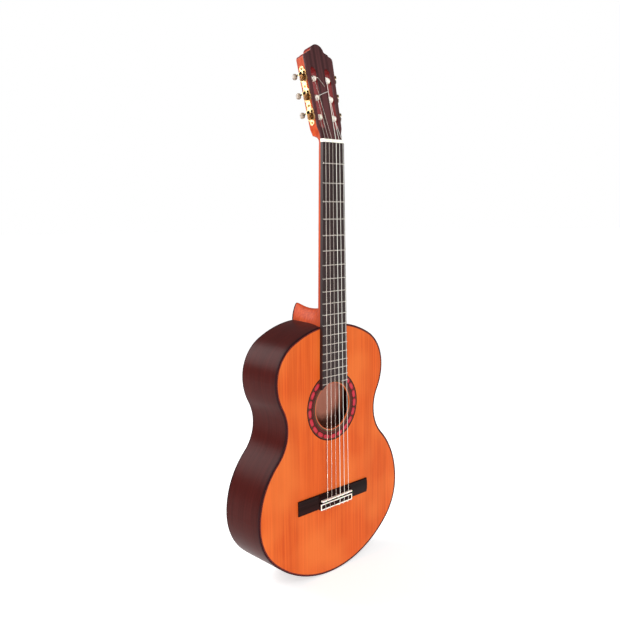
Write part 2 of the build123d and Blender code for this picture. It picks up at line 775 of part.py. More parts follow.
with BuildPart() as neck:
    add(shaft.part)
    add(head_transition.part)
    with BuildSketch(head_wood):
        add(head_face(head_root))
    extrude(amount=-(head_thickness - overlay_thickness))
    add(whole_body, mode=Mode.SUBTRACT)
    add(heel.part)
    with BuildSketch(FRONT.offset(-binding_depth)):
        with Locations((0, body_top)):
            Rectangle(2 * neck_core, 12)
    extrude(amount=-(heel_depth - 2 * binding_depth - 0.6))
    add(neck_block.part)
    add(foot.part)
    add(head_slots.part, mode=Mode.SUBTRACT)
    add(roller_room.part, mode=Mode.SUBTRACT)
    add(mirror(roller_room.part, about=Plane.YZ), mode=Mode.SUBTRACT)
    add(head_overlay.part, mode=Mode.SUBTRACT)
    add(plate_screws, mode=Mode.SUBTRACT)
    with BuildSketch(FRONT.offset(20)):
        Rectangle(100, 16)
    extrude(amount=-20, mode=Mode.SUBTRACT)
save(neck.part, "neck")

cap_thickness = 2.8
with BuildPart() as heel_cap:
    with BuildSketch(Plane(origin=(0, 94.4, body_top - heel_root), x_dir=(-1, 0, 0), z_dir=(0, 1, 0))):
        add(rounded_section(12.5, 31.5 + heel_root, 0.25).mirror(Plane.XZ))
    extrude(amount=cap_thickness)
    add(whole_body, mode=Mode.SUBTRACT)
save(heel_cap.part, "heel_cap")

# ---------------------------------------------------------------- fingerboard, frets and nut
board_end_radius, board_tip = 48.7, -444.0
tang_width, tang_depth = 0.6, 2.0
with BuildPart() as frets:
    for number in range(1, fret_count + 1):
        fret_z = -scale_length * (1 - 2 ** (-number / 12))
        half_width = neck_width(fret_z) - 0.25
        with BuildSketch(Plane.YZ.offset(-half_width)):
            with BuildLine():
                Line((board_face, fret_z - fret_width / 2), (board_face, fret_z + fret_width / 2))
                ThreePointArc(
                    (board_face, fret_z + fret_width / 2),
                    (fret_face, fret_z),
                    (board_face, fret_z - fret_width / 2),
                )
            make_face()
            with Locations((board_face + tang_depth / 2, fret_z)):
                Rectangle(tang_depth, tang_width)
        extrude(amount=2 * half_width)
    with BuildSketch(FRONT.offset(20)):
        with Locations((0, hole_z)):
            Circle(board_end_radius + 0.4)
    extrude(amount=-20, mode=Mode.SUBTRACT)
save(frets.part, "frets")

with BuildPart() as fingerboard:
    with BuildSketch(FRONT):
        Polygon(
            (-neck_width(0), 0),
            (neck_width(0), 0),
            (neck_width(board_tip), board_tip),
            (-neck_width(board_tip), board_tip),
            align=None,
        )
        with Locations((0, hole_z)):
            Circle(board_end_radius, mode=Mode.SUBTRACT)
    extrude(amount=board_thickness)
    add(frets.part, mode=Mode.SUBTRACT)
save(fingerboard.part, "fingerboard")

nut_top = nut_string_y - 0.55
with BuildPart() as nut:
    with BuildSketch(Plane.YZ.offset(-nut_width / 2)):
        Polygon(
            (0, 0),
            (nut_top, 0),
            (nut_top + 0.2, nut_length - 1.2),
            (nut_top + 1.2, nut_length),
            (0, nut_length),
            align=None,
        )
    extrude(amount=nut_width)
    for piece in strings.values():
        add(piece, mode=Mode.SUBTRACT)
save(nut.part, "nut")

# ---------------------------------------------------------------- bridge, saddle and tie block inlay
wing_thickness, front_height, tie_block_height = 3.8, 8.2, 8.6
block_length = 82.0
saddle_thickness, saddle_floor = 2.6, 3.0
inlay_height, inlay_border = 1.5, 1.9
with BuildPart() as bridge:
    with BuildSketch(Plane.YZ.offset(-block_length / 2)):
        Polygon(
            (0, tie_back),
            (-tie_block_height, tie_back),
            (-tie_block_height, tie_front),
            (-wing_thickness, tie_front),
            (-wing_thickness, saddle_z - 3.2),
            (-front_height, saddle_z - 2.6),
            (-front_height, saddle_z + 2.8),
            (-wing_thickness, bridge_top - 2.2),
            (0, bridge_top),
            align=None,
        )
    extrude(amount=block_length)
    with BuildSketch(Plane.YZ.offset(-bridge_width / 2)):
        with BuildLine():
            Polyline((0, bridge_top), (0, tie_back), (-2.4, tie_back))
            ThreePointArc((-2.4, tie_back), (-wing_thickness, bridge_middle), (-2.4, bridge_top))
            Line((-2.4, bridge_top), (0, bridge_top))
        make_face()
    extrude(amount=bridge_width)
    with BuildSketch(FRONT.offset(tie_block_height)):
        with Locations((0, (tie_front + tie_back) / 2)):
            Rectangle(block_length - 2 * inlay_border, tie_front - tie_back - 2 * inlay_border)
    extrude(amount=inlay_height - 0.2)
    with BuildSketch(FRONT.offset(saddle_floor)):
        with Locations((0, saddle_z)):
            Rectangle(block_length - 3, saddle_thickness)
    extrude(amount=20, mode=Mode.SUBTRACT)
    for number, diameter in string_diameters.items():
        with BuildSketch(Plane.XY.offset(tie_back - 1)):
            with Locations((string_x(number, saddle_spread), tie_hole_y)):
                Circle(diameter / 2 + 0.25)
        extrude(amount=tie_front - tie_back + 1.5, mode=Mode.SUBTRACT)
    for piece in strings.values():
        add(piece, mode=Mode.SUBTRACT)
save(bridge.part, "bridge")

with BuildPart() as tie_block_inlay:
    with BuildSketch(FRONT.offset(tie_block_height)):
        with Locations((0, (tie_front + tie_back) / 2)):
            Rectangle(block_length, tie_front - tie_back)
            Rectangle(
                block_length - 2 * inlay_border, tie_front - tie_back - 2 * inlay_border, mode=Mode.SUBTRACT
            )
    extrude(amount=inlay_height)
    for piece in strings.values():
        add(piece, mode=Mode.SUBTRACT)
save(tie_block_inlay.part, "tie_block_inlay")

saddle_half = block_length / 2 - 1.6
bite = 0.2  # the strings' grooves in the saddle's crest
bass_crest, treble_crest = saddle_string_y[6] - bite - 0.24, saddle_string_y[1] - bite + 0.24
with BuildPart() as saddle:
    with BuildSketch(Plane.XY.offset(saddle_z - saddle_thickness / 2)):
        Polygon(
            (-saddle_half, -saddle_floor),
            (saddle_half, -saddle_floor),
            (saddle_half, treble_crest),
            (-saddle_half, bass_crest),
            align=None,
        )
    extrude(amount=saddle_thickness)
    fillet(saddle.faces().sort_by(Axis.Y)[0].edges().filter_by(lambda edge: edge.length > 50), 0.9)
    for piece in strings.values():
        add(piece, mode=Mode.SUBTRACT)
save(saddle.part, "saddle")
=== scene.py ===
"""A classical guitar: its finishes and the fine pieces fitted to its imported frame.

Metres throughout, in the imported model's own frame. The origin is on the centre line at the nut's
front edge, +X is the treble side, +Y runs from the soundboard to the back, +Z runs up the neck.
"""
import logging
import math
from collections import defaultdict
from dataclasses import dataclass
from enum import Enum
from typing import Any, Callable, Iterable

import bmesh
import bpy
from mathutils import Matrix, Vector


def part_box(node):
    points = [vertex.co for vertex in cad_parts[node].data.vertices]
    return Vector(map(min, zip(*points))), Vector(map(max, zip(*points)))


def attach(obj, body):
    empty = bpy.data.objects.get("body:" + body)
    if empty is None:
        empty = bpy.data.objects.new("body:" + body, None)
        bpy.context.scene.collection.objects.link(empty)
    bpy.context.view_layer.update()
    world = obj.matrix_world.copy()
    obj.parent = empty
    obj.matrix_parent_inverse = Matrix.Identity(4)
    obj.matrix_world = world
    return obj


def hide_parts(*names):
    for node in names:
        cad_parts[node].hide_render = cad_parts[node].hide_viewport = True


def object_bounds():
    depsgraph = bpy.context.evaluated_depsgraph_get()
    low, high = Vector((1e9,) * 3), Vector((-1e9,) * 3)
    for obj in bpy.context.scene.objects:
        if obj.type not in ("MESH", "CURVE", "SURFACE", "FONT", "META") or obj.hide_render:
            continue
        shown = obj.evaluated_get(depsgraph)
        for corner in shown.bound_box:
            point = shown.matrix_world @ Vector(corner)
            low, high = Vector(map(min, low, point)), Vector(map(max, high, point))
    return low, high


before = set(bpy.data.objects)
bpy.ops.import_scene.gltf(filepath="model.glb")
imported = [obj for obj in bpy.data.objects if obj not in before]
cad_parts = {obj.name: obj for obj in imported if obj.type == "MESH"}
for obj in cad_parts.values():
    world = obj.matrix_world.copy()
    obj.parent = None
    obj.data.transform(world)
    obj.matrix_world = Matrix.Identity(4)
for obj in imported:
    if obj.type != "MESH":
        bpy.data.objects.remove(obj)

CAD_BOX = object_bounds()
MM = 0.001
HEAD_TILT = math.radians(13)  # how far the head leans back from the neck
HEAD_FACE_MM = -3.5  # where the head's face would cross the nut's front edge
FLAT = 0.999  # a face whose normal agrees with a direction this well lies square to it
LEVEL_STEP_MM = 0.05  # flat faces this close in height count as one
SEAM_ANGLE = math.radians(0.4)  # faces that meet flatter than this are one face
SHARP_ANGLE = math.radians(35)  # edges sharper than this can be rounded over
log = logging.getLogger("guitar")

Colour = tuple[float, float, float, float]
Loop = list[Vector]
Point = tuple[float, float, float]
Tree = bpy.types.NodeTree
Socket = bpy.types.NodeSocket
Piece = bpy.types.Object
Mesh = bmesh.types.BMesh
Edge = bmesh.types.BMEdge
Pattern = tuple[Socket, Socket]


# ---------- small helpers
def linear(colour: str) -> Colour:
    """Turn a colour written as sRGB hex into Blender's linear one.

    Args:
        colour: six hex digits after a #.

    Returns:
        Linear red, green, blue and an alpha of 1.
    """
    parts = [int(colour[i : i + 2], 16) / 255 for i in (1, 3, 5)]
    lit = [c / 12.92 if c <= 0.04045 else ((c + 0.055) / 1.055) ** 2.4 for c in parts]
    return (lit[0], lit[1], lit[2], 1.0)


def add_node(
    tree: Tree,
    kind: str,
    settings: dict[str, Any] | None = None,
    inputs: dict[str | int, Any] | None = None,
) -> bpy.types.Node:
    """Add one node with its settings and links.

    Args:
        tree: the node tree it goes into.
        kind: Blender's name for the node type.
        settings: properties of the node; "stops" are a colour ramp's places and hex colours.
        inputs: for each socket, by name or index, the socket linked to it or its own value.

    Returns:
        The new node.
    """
    node = tree.nodes.new(kind)
    for name, value in (settings or {}).items():
        if name == "stops":
            elements = node.color_ramp.elements
            while len(elements) < len(value):
                elements.new(1.0)
            for element, (place, colour) in zip(elements, value):
                element.position, element.color = place, linear(colour)
        elif name == "interpolation":
            node.color_ramp.interpolation = value
        else:
            setattr(node, name, value)
    for socket, value in (inputs or {}).items():
        if isinstance(value, Socket):
            tree.links.new(value, node.inputs[socket])
        else:
            node.inputs[socket].default_value = value
    return node


@dataclass(frozen=True)
class Sums:
    """Writes arithmetic into one node tree, a node for each sum."""

    tree: Tree

    def __call__(self, operation: str, *values: Any) -> Socket:
        """Add one sum.

        Args:
            operation: Blender's name for it.
            values: what it works on, sockets or plain numbers.

        Returns:
            Its result.
        """
        settings = {"operation": operation}
        return add_node(self.tree, "ShaderNodeMath", settings, dict(enumerate(values))).outputs[0]


def new_piece(name: str, mesh: Mesh, smooth_angle: float = 40) -> Piece:
    """Make an object at the origin from a finished bmesh.

    Args:
        name: the piece's name.
        mesh: its shape, freed here.
        smooth_angle: edges sharper than this many degrees stay sharp.

    Returns:
        The object, linked to the scene.
    """
    data = bpy.data.meshes.new(name)
    mesh.to_mesh(data)
    mesh.free()
    data.shade_smooth()
    data.set_sharp_from_angle(angle=math.radians(smooth_angle))
    piece = bpy.data.objects.new(name, data)
    bpy.context.scene.collection.objects.link(piece)
    return piece


def merged_copy(node: str) -> Mesh:
    """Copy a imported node's mesh with its loose triangles joined.

    Args:
        node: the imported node.

    Returns:
        The copy, which the caller frees.
    """
    mesh = bmesh.new()
    mesh.from_mesh(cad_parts[node].data)
    bmesh.ops.remove_doubles(mesh, verts=mesh.verts, dist=1e-6)
    bmesh.ops.dissolve_degenerate(mesh, dist=1e-6, edges=mesh.edges)
    return mesh


def rim_loops(node: str, facing: Vector) -> list[Loop]:
    """Find the edge loops round a node's largest flat face that looks one way.

    Args:
        node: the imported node.
        facing: the way the face looks, of length 1.

    Returns:
        Closed loops of points, longest first, each with the face on its left.
    """
    mesh = merged_copy(node)
    levels: dict[int, list[bmesh.types.BMFace]] = defaultdict(list)
    for face in mesh.faces:
        if face.normal.dot(facing) > FLAT:
            levels[round(face.calc_center_median().dot(facing) / (LEVEL_STEP_MM * MM))].append(face)
    areas = {key: sum(face.calc_area() for face in faces) for key, faces in levels.items()}
    level = max(areas, key=areas.__getitem__)
    ordered = [face for key in (level - 1, level, level + 1) for face in levels.get(key, [])]
    chosen = set(ordered)
    following: dict[bmesh.types.BMVert, bmesh.types.BMVert] = {}
    for face in ordered:
        for corner in face.loops:
            if not any(other is not face and other in chosen for other in corner.edge.link_faces):
                following[corner.vert] = corner.link_loop_next.vert
    loops = []
    while following:
        start, vertex = following.popitem()
        loop = [start.co.copy()]
        while vertex is not start and vertex in following:
            loop.append(vertex.co.copy())
            vertex = following.pop(vertex)
        loops.append(loop)
    mesh.free()
    return sorted(loops, key=loop_length, reverse=True)


def loop_length(loop: Loop) -> float:
    """Length round a closed loop."""
    return sum((b - a).length for a, b in zip(loop, loop[1:] + loop[:1]))


def even_loop(loop: Loop, step: float) -> Loop:
    """Divide a closed loop into nearly equal steps.

    Args:
        loop: its points.
        step: the longest step wanted.

    Returns:
        The new points.
    """
    total = loop_length(loop)
    count = max(8, math.ceil(total / step))
    points, walked, index = [], 0.0, 0
    for k in range(count):
        target = total * k / count
        while True:
            a, b = loop[index % len(loop)], loop[(index + 1) % len(loop)]
            if walked + (b - a).length >= target or index >= len(loop):
                break
            walked += (b - a).length
            index += 1
        points.append(a.lerp(b, (target - walked) / max((b - a).length, 1e-9)))
    return points


def inset(loop: Loop, facing: Vector, distance: float) -> Loop:
    """Move a closed loop towards its left, seen against the way it faces.

    Args:
        loop: its points.
        facing: normal of the plane it lies in.
        distance: how far; a negative one moves it to the right.

    Returns:
        The moved points.
    """
    moved = []
    for before, here, after in zip(loop[-1:] + loop[:-1], loop, loop[1:] + loop[:1]):
        moved.append(here + facing.cross(after - before).normalized() * distance)
    return moved


def band(
    loop: Loop, facing: Vector, inner: float, outer: float, front: float, depth: float
) -> Mesh:
    """Make a closed strip of rectangular section that follows a loop.

    Args:
        loop: the line it follows.
        facing: normal of the loop's plane.
        inner: distance of its near edge to the left of the loop.
        outer: distance of its far edge to the left of the loop.
        front: how far its face stands in front of the loop's plane.
        depth: its thickness.

    Returns:
        The strip's mesh.
    """
    corners = ((inner, front), (outer, front), (outer, front - depth), (inner, front - depth))
    mesh = bmesh.new()
    rings = []
    for across, height in corners:
        rings.append([mesh.verts.new(p + facing * height) for p in inset(loop, facing, across)])
    for a, b in zip(rings, rings[1:] + rings[:1]):
        for k in range(len(loop)):
            n = (k + 1) % len(loop)
            mesh.faces.new((a[k], a[n], b[n], b[k]))
    bmesh.ops.recalc_face_normals(mesh, faces=mesh.faces)
    return mesh


def tube(points: Iterable[Vector], radii: Iterable[float], sides: int = 10) -> Mesh:
    """Make a closed round rod along a line of points.

    Args:
        points: the middle line.
        radii: its radius at each point.
        sides: how many flats go round it.

    Returns:
        The rod's mesh.
    """
    line = list(points)
    mesh = bmesh.new()
    rings = []
    for index, (place, radius) in enumerate(zip(line, radii)):
        ahead = (line[min(index + 1, len(line) - 1)] - line[max(index - 1, 0)]).normalized()
        side = ahead.orthogonal() if index == 0 else side - ahead * side.dot(ahead)
        side = side.normalized()
        up = ahead.cross(side)
        turns = [2 * math.pi * k / sides for k in range(sides)]
        round_it = [side * math.cos(turn) + up * math.sin(turn) for turn in turns]
        rings.append([mesh.verts.new(place + way * radius) for way in round_it])
    for a, b in zip(rings, rings[1:]):
        for k in range(sides):
            mesh.faces.new((a[k], a[(k + 1) % sides], b[(k + 1) % sides], b[k]))
    mesh.faces.new(rings[0][::-1])
    mesh.faces.new(rings[-1])
    bmesh.ops.recalc_face_normals(mesh, faces=mesh.faces)
    return mesh


def grown(
    name: str, tree: Tree, sizes: dict[str, Any], path: Loop | None = None
) -> Piece:
    """Run a Geometry Nodes tree once and keep its result as a plain mesh.

    Args:
        name: the new piece's name.
        tree: the tree to run.
        sizes: the tree's inputs by name.
        path: a closed loop that the tree follows, if it needs one.

    Returns:
        The finished piece.
    """
    line = bpy.data.meshes.new(name + "_path")
    points = [tuple(point) for point in path or []]
    line.from_pydata(points, [(k, (k + 1) % len(points)) for k in range(len(points))], [])
    carrier = bpy.data.objects.new(name + "_carrier", line)
    bpy.context.scene.collection.objects.link(carrier)
    grower = carrier.modifiers.new("grower", "NODES")
    grower.node_group = tree
    for item in tree.interface.items_tree:
        if item.in_out == "INPUT" and item.name in sizes:
            grower[item.identifier] = sizes[item.name]
    carrier.update_tag()
    bpy.context.view_layer.update()
    result = carrier.evaluated_get(bpy.context.evaluated_depsgraph_get())
    data = bpy.data.meshes.new_from_object(result)
    carrier.modifiers.remove(grower)
    bpy.data.objects.remove(carrier)
    data.name = name
    piece = bpy.data.objects.new(name, data)
    bpy.context.scene.collection.objects.link(piece)
    return piece


# ---------- finishes
class Fibre(Enum):
    """Which way the wood's fibres run: how fast its pattern changes along x, y and z."""

    UP = (1.0, 0.35, 0.014)
    ROUND_THE_RIM = (0.03, 1.0, 0.03)
    ACROSS = (0.014, 0.35, 1.0)


@dataclass(frozen=True)
class Finish:
    """What every finish has."""

    name: str
    roughness: float = 0.4
    coat: float = 0.0
    coat_roughness: float = 0.15
    specular: float = 0.5
    relief_mm: float = 0.0

    def colour(self, tree: Tree) -> Pattern:
        """Build the nodes of this finish's pattern.

        Args:
            tree: the material's node tree.

        Returns:
            The sockets of the colour and of the height of the relief.
        """
        raise NotImplementedError

    def tune(self, shader: bpy.types.Node) -> None:
        """Set what only this kind of finish needs on its shader."""

    def material(self) -> bpy.types.Material:
        """Build this finish's material when it is first asked for.

        Returns:
            The material.
        """
        if self.name in bpy.data.materials:
            return bpy.data.materials[self.name]
        made = bpy.data.materials.new(self.name)
        made.use_nodes = True
        tree = made.node_tree
        shader = tree.nodes["Principled BSDF"]
        colour, height = self.colour(tree)
        tree.links.new(colour, shader.inputs["Base Color"])
        shader.inputs["Roughness"].default_value = self.roughness
        shader.inputs["Coat Weight"].default_value = self.coat
        shader.inputs["Coat Roughness"].default_value = self.coat_roughness
        shader.inputs["Specular IOR Level"].default_value = self.specular
        if self.relief_mm:
            settled = {"Height": height, "Strength": 1.0, "Distance": self.relief_mm * MM}
            bump = add_node(tree, "ShaderNodeBump", None, settled)
            tree.links.new(bump.outputs["Normal"], shader.inputs["Normal"])
        self.tune(shader)
        return made


@dataclass(frozen=True)
class Wood(Finish):
    """A planed board: growth lines, broader streaks along the fibres, and a satin or gloss finish.

    Growth lines finer than 2 mm are drawn at 2 mm, the finest that still shows at a metre's distance.
    """

    pale: str = "#C08050"
    deep: str = "#A06030"
    streak: str = "#804020"
    ring_mm: float = 2.0
    figure_mm: float = 22.0
    figure: float = 0.35
    fibre: Fibre = Fibre.UP
    tilt: float = 0.0
    matched: bool = False
    slow: str = ""
    slow_mm: float = 90.0
    slow_amount: float = 0.6
    centre_line: str = ""
    centre_line_mm: float = 1.2
    bare: str = ""

    def streaks(
        self, tree: Tree, board: Any, width_mm: float, detail: float, bend: float
    ) -> Socket:
        """Build noise drawn out along the fibres.

        Args:
            tree: the material's node tree.
            board: the place on the board.
            width_mm: the usual width of a streak.
            detail: how many finer layers it has.
            bend: how far the streaks wander.

        Returns:
            The strength of the streak there.
        """
        stretch = tuple(part / (width_mm * MM) for part in self.fibre.value)
        scaled = add_node(tree, "ShaderNodeVectorMath", {"operation": "MULTIPLY"}, {0: board, 1: stretch})
        noise = {"Vector": scaled.outputs[0], "Scale": 1.0, "Detail": detail, "Distortion": bend}
        return add_node(tree, "ShaderNodeTexNoise", None, noise).outputs["Fac"]

    def colour(self, tree: Tree) -> Pattern:
        """Build growth lines, then lay streaks, drifts and let-in lines over them; see Finish.colour."""
        place = add_node(tree, "ShaderNodeTexCoord").outputs["Object"]
        turned = add_node(tree, "ShaderNodeMapping", None, {"Vector": place, "Rotation": (self.tilt, 0, 0)})
        split = add_node(tree, "ShaderNodeSeparateXYZ", None, {0: turned.outputs[0]}).outputs
        off_centre = Sums(tree)("ABSOLUTE", split["X"])
        joined = {"X": off_centre if self.matched else split["X"], "Y": split["Y"], "Z": split["Z"]}
        board = add_node(tree, "ShaderNodeCombineXYZ", None, joined).outputs[0]
        rings = self.streaks(tree, board, self.ring_mm, 1.0, 0.0)
        broad = self.streaks(tree, board, self.figure_mm, 2.0, 0.6)
        lines = {"stops": ((0.36, self.deep), (0.6, self.pale))}
        base = add_node(tree, "ShaderNodeValToRGB", lines, {"Fac": rings}).outputs["Color"]
        reach = {"Value": broad, "From Min": 0.42, "From Max": 0.72, "To Max": self.figure}
        layers = [("ShaderNodeMapRange", None, reach, self.streak)]
        if self.slow:
            cloud = {"Vector": place, "Scale": 1 / (self.slow_mm * MM), "Detail": 1.0}
            drift = add_node(tree, "ShaderNodeTexNoise", None, cloud).outputs["Fac"]
            reach = {"Value": drift, "From Min": 0.4, "From Max": 0.7, "To Max": self.slow_amount}
            layers.append(("ShaderNodeMapRange", None, reach, self.slow))
        below = {"operation": "LESS_THAN"}
        if self.centre_line:
            reach = {0: off_centre, 1: self.centre_line_mm * MM}
            layers.append(("ShaderNodeMath", below, reach, self.centre_line))
        if self.bare:
            normal = add_node(tree, "ShaderNodeNewGeometry").outputs["Normal"]
            looks = add_node(tree, "ShaderNodeSeparateXYZ", None, {0: normal}).outputs["Y"]
            layers.append(("ShaderNodeMath", below, {0: looks, 1: -0.5}, self.bare))
        for kind, settings, inputs, tone in layers:
            amount = add_node(tree, kind, settings, inputs).outputs[0]
            mix = {0: amount, 6: base, 7: linear(tone)}
            base = add_node(tree, "ShaderNodeMix", {"data_type": "RGBA"}, mix).outputs[2]
        return base, rings


@dataclass(frozen=True)
class SlottedWood(Wood):
    """The neck's wood: a dark red painted into the walls of the head's two slots as painted shade, and the
    same red on the upward-facing end grain above them.
    """

    # painted shade: the dark red laid in the head's slots, also put on the upward-facing end grain above them
    slot_shade_and_crest_red: str = "#701010"
    slot_centre_mm: float = 17.0
    slot_reach_mm: float = 7.8
    slots_middle_mm: float = 82.0
    slots_reach_mm: float = 58.0
    head_depth_mm: float = 19.8
    upward: float = 0.35

    def colour(self, tree: Tree) -> Pattern:
        """Mix the dark red into the slots as painted shade and into the end grain above them; see
        Finish.colour.
        """
        base, rings = super().colour(tree)
        place = add_node(tree, "ShaderNodeTexCoord").outputs["Object"]
        split = add_node(tree, "ShaderNodeSeparateXYZ", None, {0: place}).outputs
        normal = add_node(tree, "ShaderNodeNewGeometry").outputs["Normal"]
        rise = add_node(tree, "ShaderNodeSeparateXYZ", None, {0: normal}).outputs["Z"]
        work = Sums(tree)
        off_centre = work("ABSOLUTE", split["X"])
        aside = work("COMPARE", off_centre, self.slot_centre_mm * MM, self.slot_reach_mm * MM)
        along = work("COMPARE", split["Z"], self.slots_middle_mm * MM, self.slots_reach_mm * MM)
        forward = work("SUBTRACT", split["Y"], HEAD_FACE_MM * MM)
        leaning = work("MULTIPLY", split["Z"], math.sin(HEAD_TILT))
        depth = work("SUBTRACT", work("MULTIPLY", forward, math.cos(HEAD_TILT)), leaning)
        within = work("LESS_THAN", depth, self.head_depth_mm * MM)
        # painted shade: points inside the walls of the head's two slots
        slots = work("MULTIPLY", work("MULTIPLY", aside, along), within)
        above = work("GREATER_THAN", split["Z"], (self.slots_middle_mm + self.slots_reach_mm) * MM)
        crest = work("MULTIPLY", above, work("GREATER_THAN", rise, self.upward))
        # mix the painted slot shade, and the same red on the end grain, into the wood
        mix = {0: work("MAXIMUM", slots, crest), 6: base, 7: linear(self.slot_shade_and_crest_red)}
        return add_node(tree, "ShaderNodeMix", {"data_type": "RGBA"}, mix).outputs[2], rings


@dataclass(frozen=True)
class Metal(Finish):
    """A drawn, cut or plated metal with small scratches and slow changes of tone."""

    bright: str = "#D0D0D0"
    dull: str = "#B0B0B0"
    mark_mm: float = 1.5

    def colour(self, tree: Tree) -> Pattern:
        """Build cloudy tone and fine marks; see Finish.colour."""
        place = add_node(tree, "ShaderNodeTexCoord").outputs["Object"]
        noise = {"Vector": place, "Scale": 1 / (self.mark_mm * MM), "Detail": 3.0}
        cloud = add_node(tree, "ShaderNodeTexNoise", None, noise).outputs["Fac"]
        stops = {"stops": ((0.38, self.dull), (0.58, self.bright))}
        return add_node(tree, "ShaderNodeValToRGB", stops, {"Fac": cloud}).outputs["Color"], cloud

    def tune(self, shader: bpy.types.Node) -> None:
        """Make the shader a metal."""
        shader.inputs["Metallic"].default_value = 1.0


@dataclass(frozen=True)
class EngravedMetal(Metal):
    """Plated sheet with a scrolling pattern cut by hand about 2.5 mm apart."""

    scroll_mm: float = 2.6
    cuts: float = 14.0

    def colour(self, tree: Tree) -> Pattern:
        """Build the cut scrolls, darker in their grooves; see Finish.colour."""
        place = add_node(tree, "ShaderNodeTexCoord").outputs["Object"]
        cells = {"Vector": place, "Scale": 1 / (self.scroll_mm * MM), "Randomness": 0.8}
        rings = add_node(tree, "ShaderNodeTexVoronoi", {"feature": "F1"}, cells).outputs["Distance"]
        work = Sums(tree)
        turned = work("SINE", work("MULTIPLY", rings, self.cuts))
        stops = {"stops": ((0.0, self.dull), (0.45, self.bright))}
        shade = add_node(tree, "ShaderNodeValToRGB", stops, {"Fac": turned}).outputs["Color"]
        return shade, turned


@dataclass(frozen=True)
class WoundWire(Metal):
    """Silvered copper wire wound on a core, its turns drawn 0.9 mm apart so that they show."""

    pitch_mm: float = 0.9
    bands_per_unit: float = 0.314

    def colour(self, tree: Tree) -> Pattern:
        """Build the turns of the wire; see Finish.colour."""
        place = add_node(tree, "ShaderNodeTexCoord").outputs["Object"]
        wave = {"Vector": place, "Scale": self.bands_per_unit / (self.pitch_mm * MM), "Distortion": 0.0}
        turns = add_node(tree, "ShaderNodeTexWave", {"bands_direction": "Z"}, wave).outputs["Fac"]
        stops = {"stops": ((0.0, self.dull), (0.6, self.bright))}
        return add_node(tree, "ShaderNodeValToRGB", stops, {"Fac": turns}).outputs["Color"], turns


@dataclass(frozen=True)
class Pale(Finish):
    """Bone, moulded plastic, pearl or nylon: a pale, slightly deep surface with a soft drift of tone."""

    light: str = "#F5F0E0"
    shade: str = "#E0D8C0"
    drift_mm: float = 4.0
    depth: float = 0.0
    clearness: float = 0.0

    def colour(self, tree: Tree) -> Pattern:
        """Build a soft drift between two tones; see Finish.colour."""
        place = add_node(tree, "ShaderNodeTexCoord").outputs["Object"]
        noise = {"Vector": place, "Scale": 1 / (self.drift_mm * MM), "Detail": 2.0, "Distortion": 1.2}
        cloud = add_node(tree, "ShaderNodeTexNoise", None, noise).outputs["Fac"]
        stops = {"stops": ((0.35, self.shade), (0.6, self.light))}
        return add_node(tree, "ShaderNodeValToRGB", stops, {"Fac": cloud}).outputs["Color"], cloud

    def tune(self, shader: bpy.types.Node) -> None:
        """Give the surface its depth or clearness."""
        shader.inputs["Subsurface Weight"].default_value = self.depth
        shader.inputs["Subsurface Scale"].default_value = MM
        shader.inputs["Transmission Weight"].default_value = self.clearness
        shader.inputs["IOR"].default_value = 1.53


@dataclass(frozen=True)
class DyedVeneer(Finish):
    """End-grain veneer squares under polish; each square's tone comes from its own number."""

    dyes: tuple[tuple[float, str], ...] = ()
    grain_mm: float = 0.8

    def colour(self, tree: Tree) -> Pattern:
        """Look up each square's dye; see Finish.colour."""
        number = add_node(tree, "ShaderNodeAttribute", {"attribute_name": "veneer"}).outputs["Fac"]
        settings = {"interpolation": "CONSTANT", "stops": self.dyes}
        base = add_node(tree, "ShaderNodeValToRGB", settings, {"Fac": number}).outputs["Color"]
        place = add_node(tree, "ShaderNodeTexCoord").outputs["Object"]
        grain = {"Vector": place, "Scale": 1 / (self.grain_mm * MM), "Detail": 2.0}
        spots = add_node(tree, "ShaderNodeTexNoise", None, grain).outputs["Fac"]
        toned = {0: 0.35, 6: base, 7: spots}
        mixed = add_node(tree, "ShaderNodeMix", {"data_type": "RGBA", "blend_type": "SOFT_LIGHT"}, toned)
        return mixed.outputs[2], spots


# French polish over quartersawn cedar: a deep warm orange with fine upright lines and a soft gloss.
CEDAR_TOP = Wood(
    "french_polished_cedar", roughness=0.46, specular=0.12, relief_mm=0.03,
    pale="#CB581E", deep="#BD4B18", streak="#A53E0F", ring_mm=2.2, figure_mm=18, figure=0.42, matched=True,
    slow="#D26C2F",
)
# Lacquered rosewood, bent: near-black red-brown, satin, its lines running along the rim.
ROSEWOOD_RIM = Wood(
    "satin_rosewood_rim", roughness=0.36, specular=0.05, relief_mm=0.005,
    pale="#431310", deep="#3A0F0C", streak="#2B0907", ring_mm=2.6, figure_mm=26, figure=0.25,
    fibre=Fibre.ROUND_THE_RIM,
)
# The same wood sawn flat for the two halves of the back, with a pale line let in at the joint.
ROSEWOOD_BACK = Wood(
    "satin_rosewood_back", roughness=0.44, specular=0.12, relief_mm=0.02,
    pale="#5A231C", deep="#43140F", streak="#260B08", ring_mm=3.0, figure_mm=24, figure=0.7,
    matched=True, centre_line="#C9A36A", bare="#C27E6A",
)
# Scraped rosewood strip under lacquer: almost black, with a violet cast where it rounds over.
BINDING_WOOD = Wood(
    "lacquered_binding", roughness=0.42, specular=0.04, relief_mm=0.01,
    pale="#3A171A", deep="#280F12", streak="#18080A", ring_mm=2.4, figure_mm=12, figure=0.5,
    fibre=Fibre.ROUND_THE_RIM,
)
# Lacquered mahogany: warm orange-red, short open pores and soft ribbons along the neck, with painted shade in
# the head's slots.
MAHOGANY = SlottedWood(
    "lacquered_mahogany", roughness=0.44, specular=0.1, relief_mm=0.03,
    pale="#BE4A20", deep="#AC3A16", streak="#7E240B", figure_mm=9, figure=0.6,
)
# Rosewood veneer on the head: dark brown with a violet cast and straight streaks.
HEAD_VENEER = Wood(
    "head_rosewood_veneer", roughness=0.44, specular=0.15, relief_mm=0.02,
    pale="#563233", deep="#432728", streak="#2C1819", figure_mm=6, figure=0.7,
    tilt=HEAD_TILT, matched=True,
)
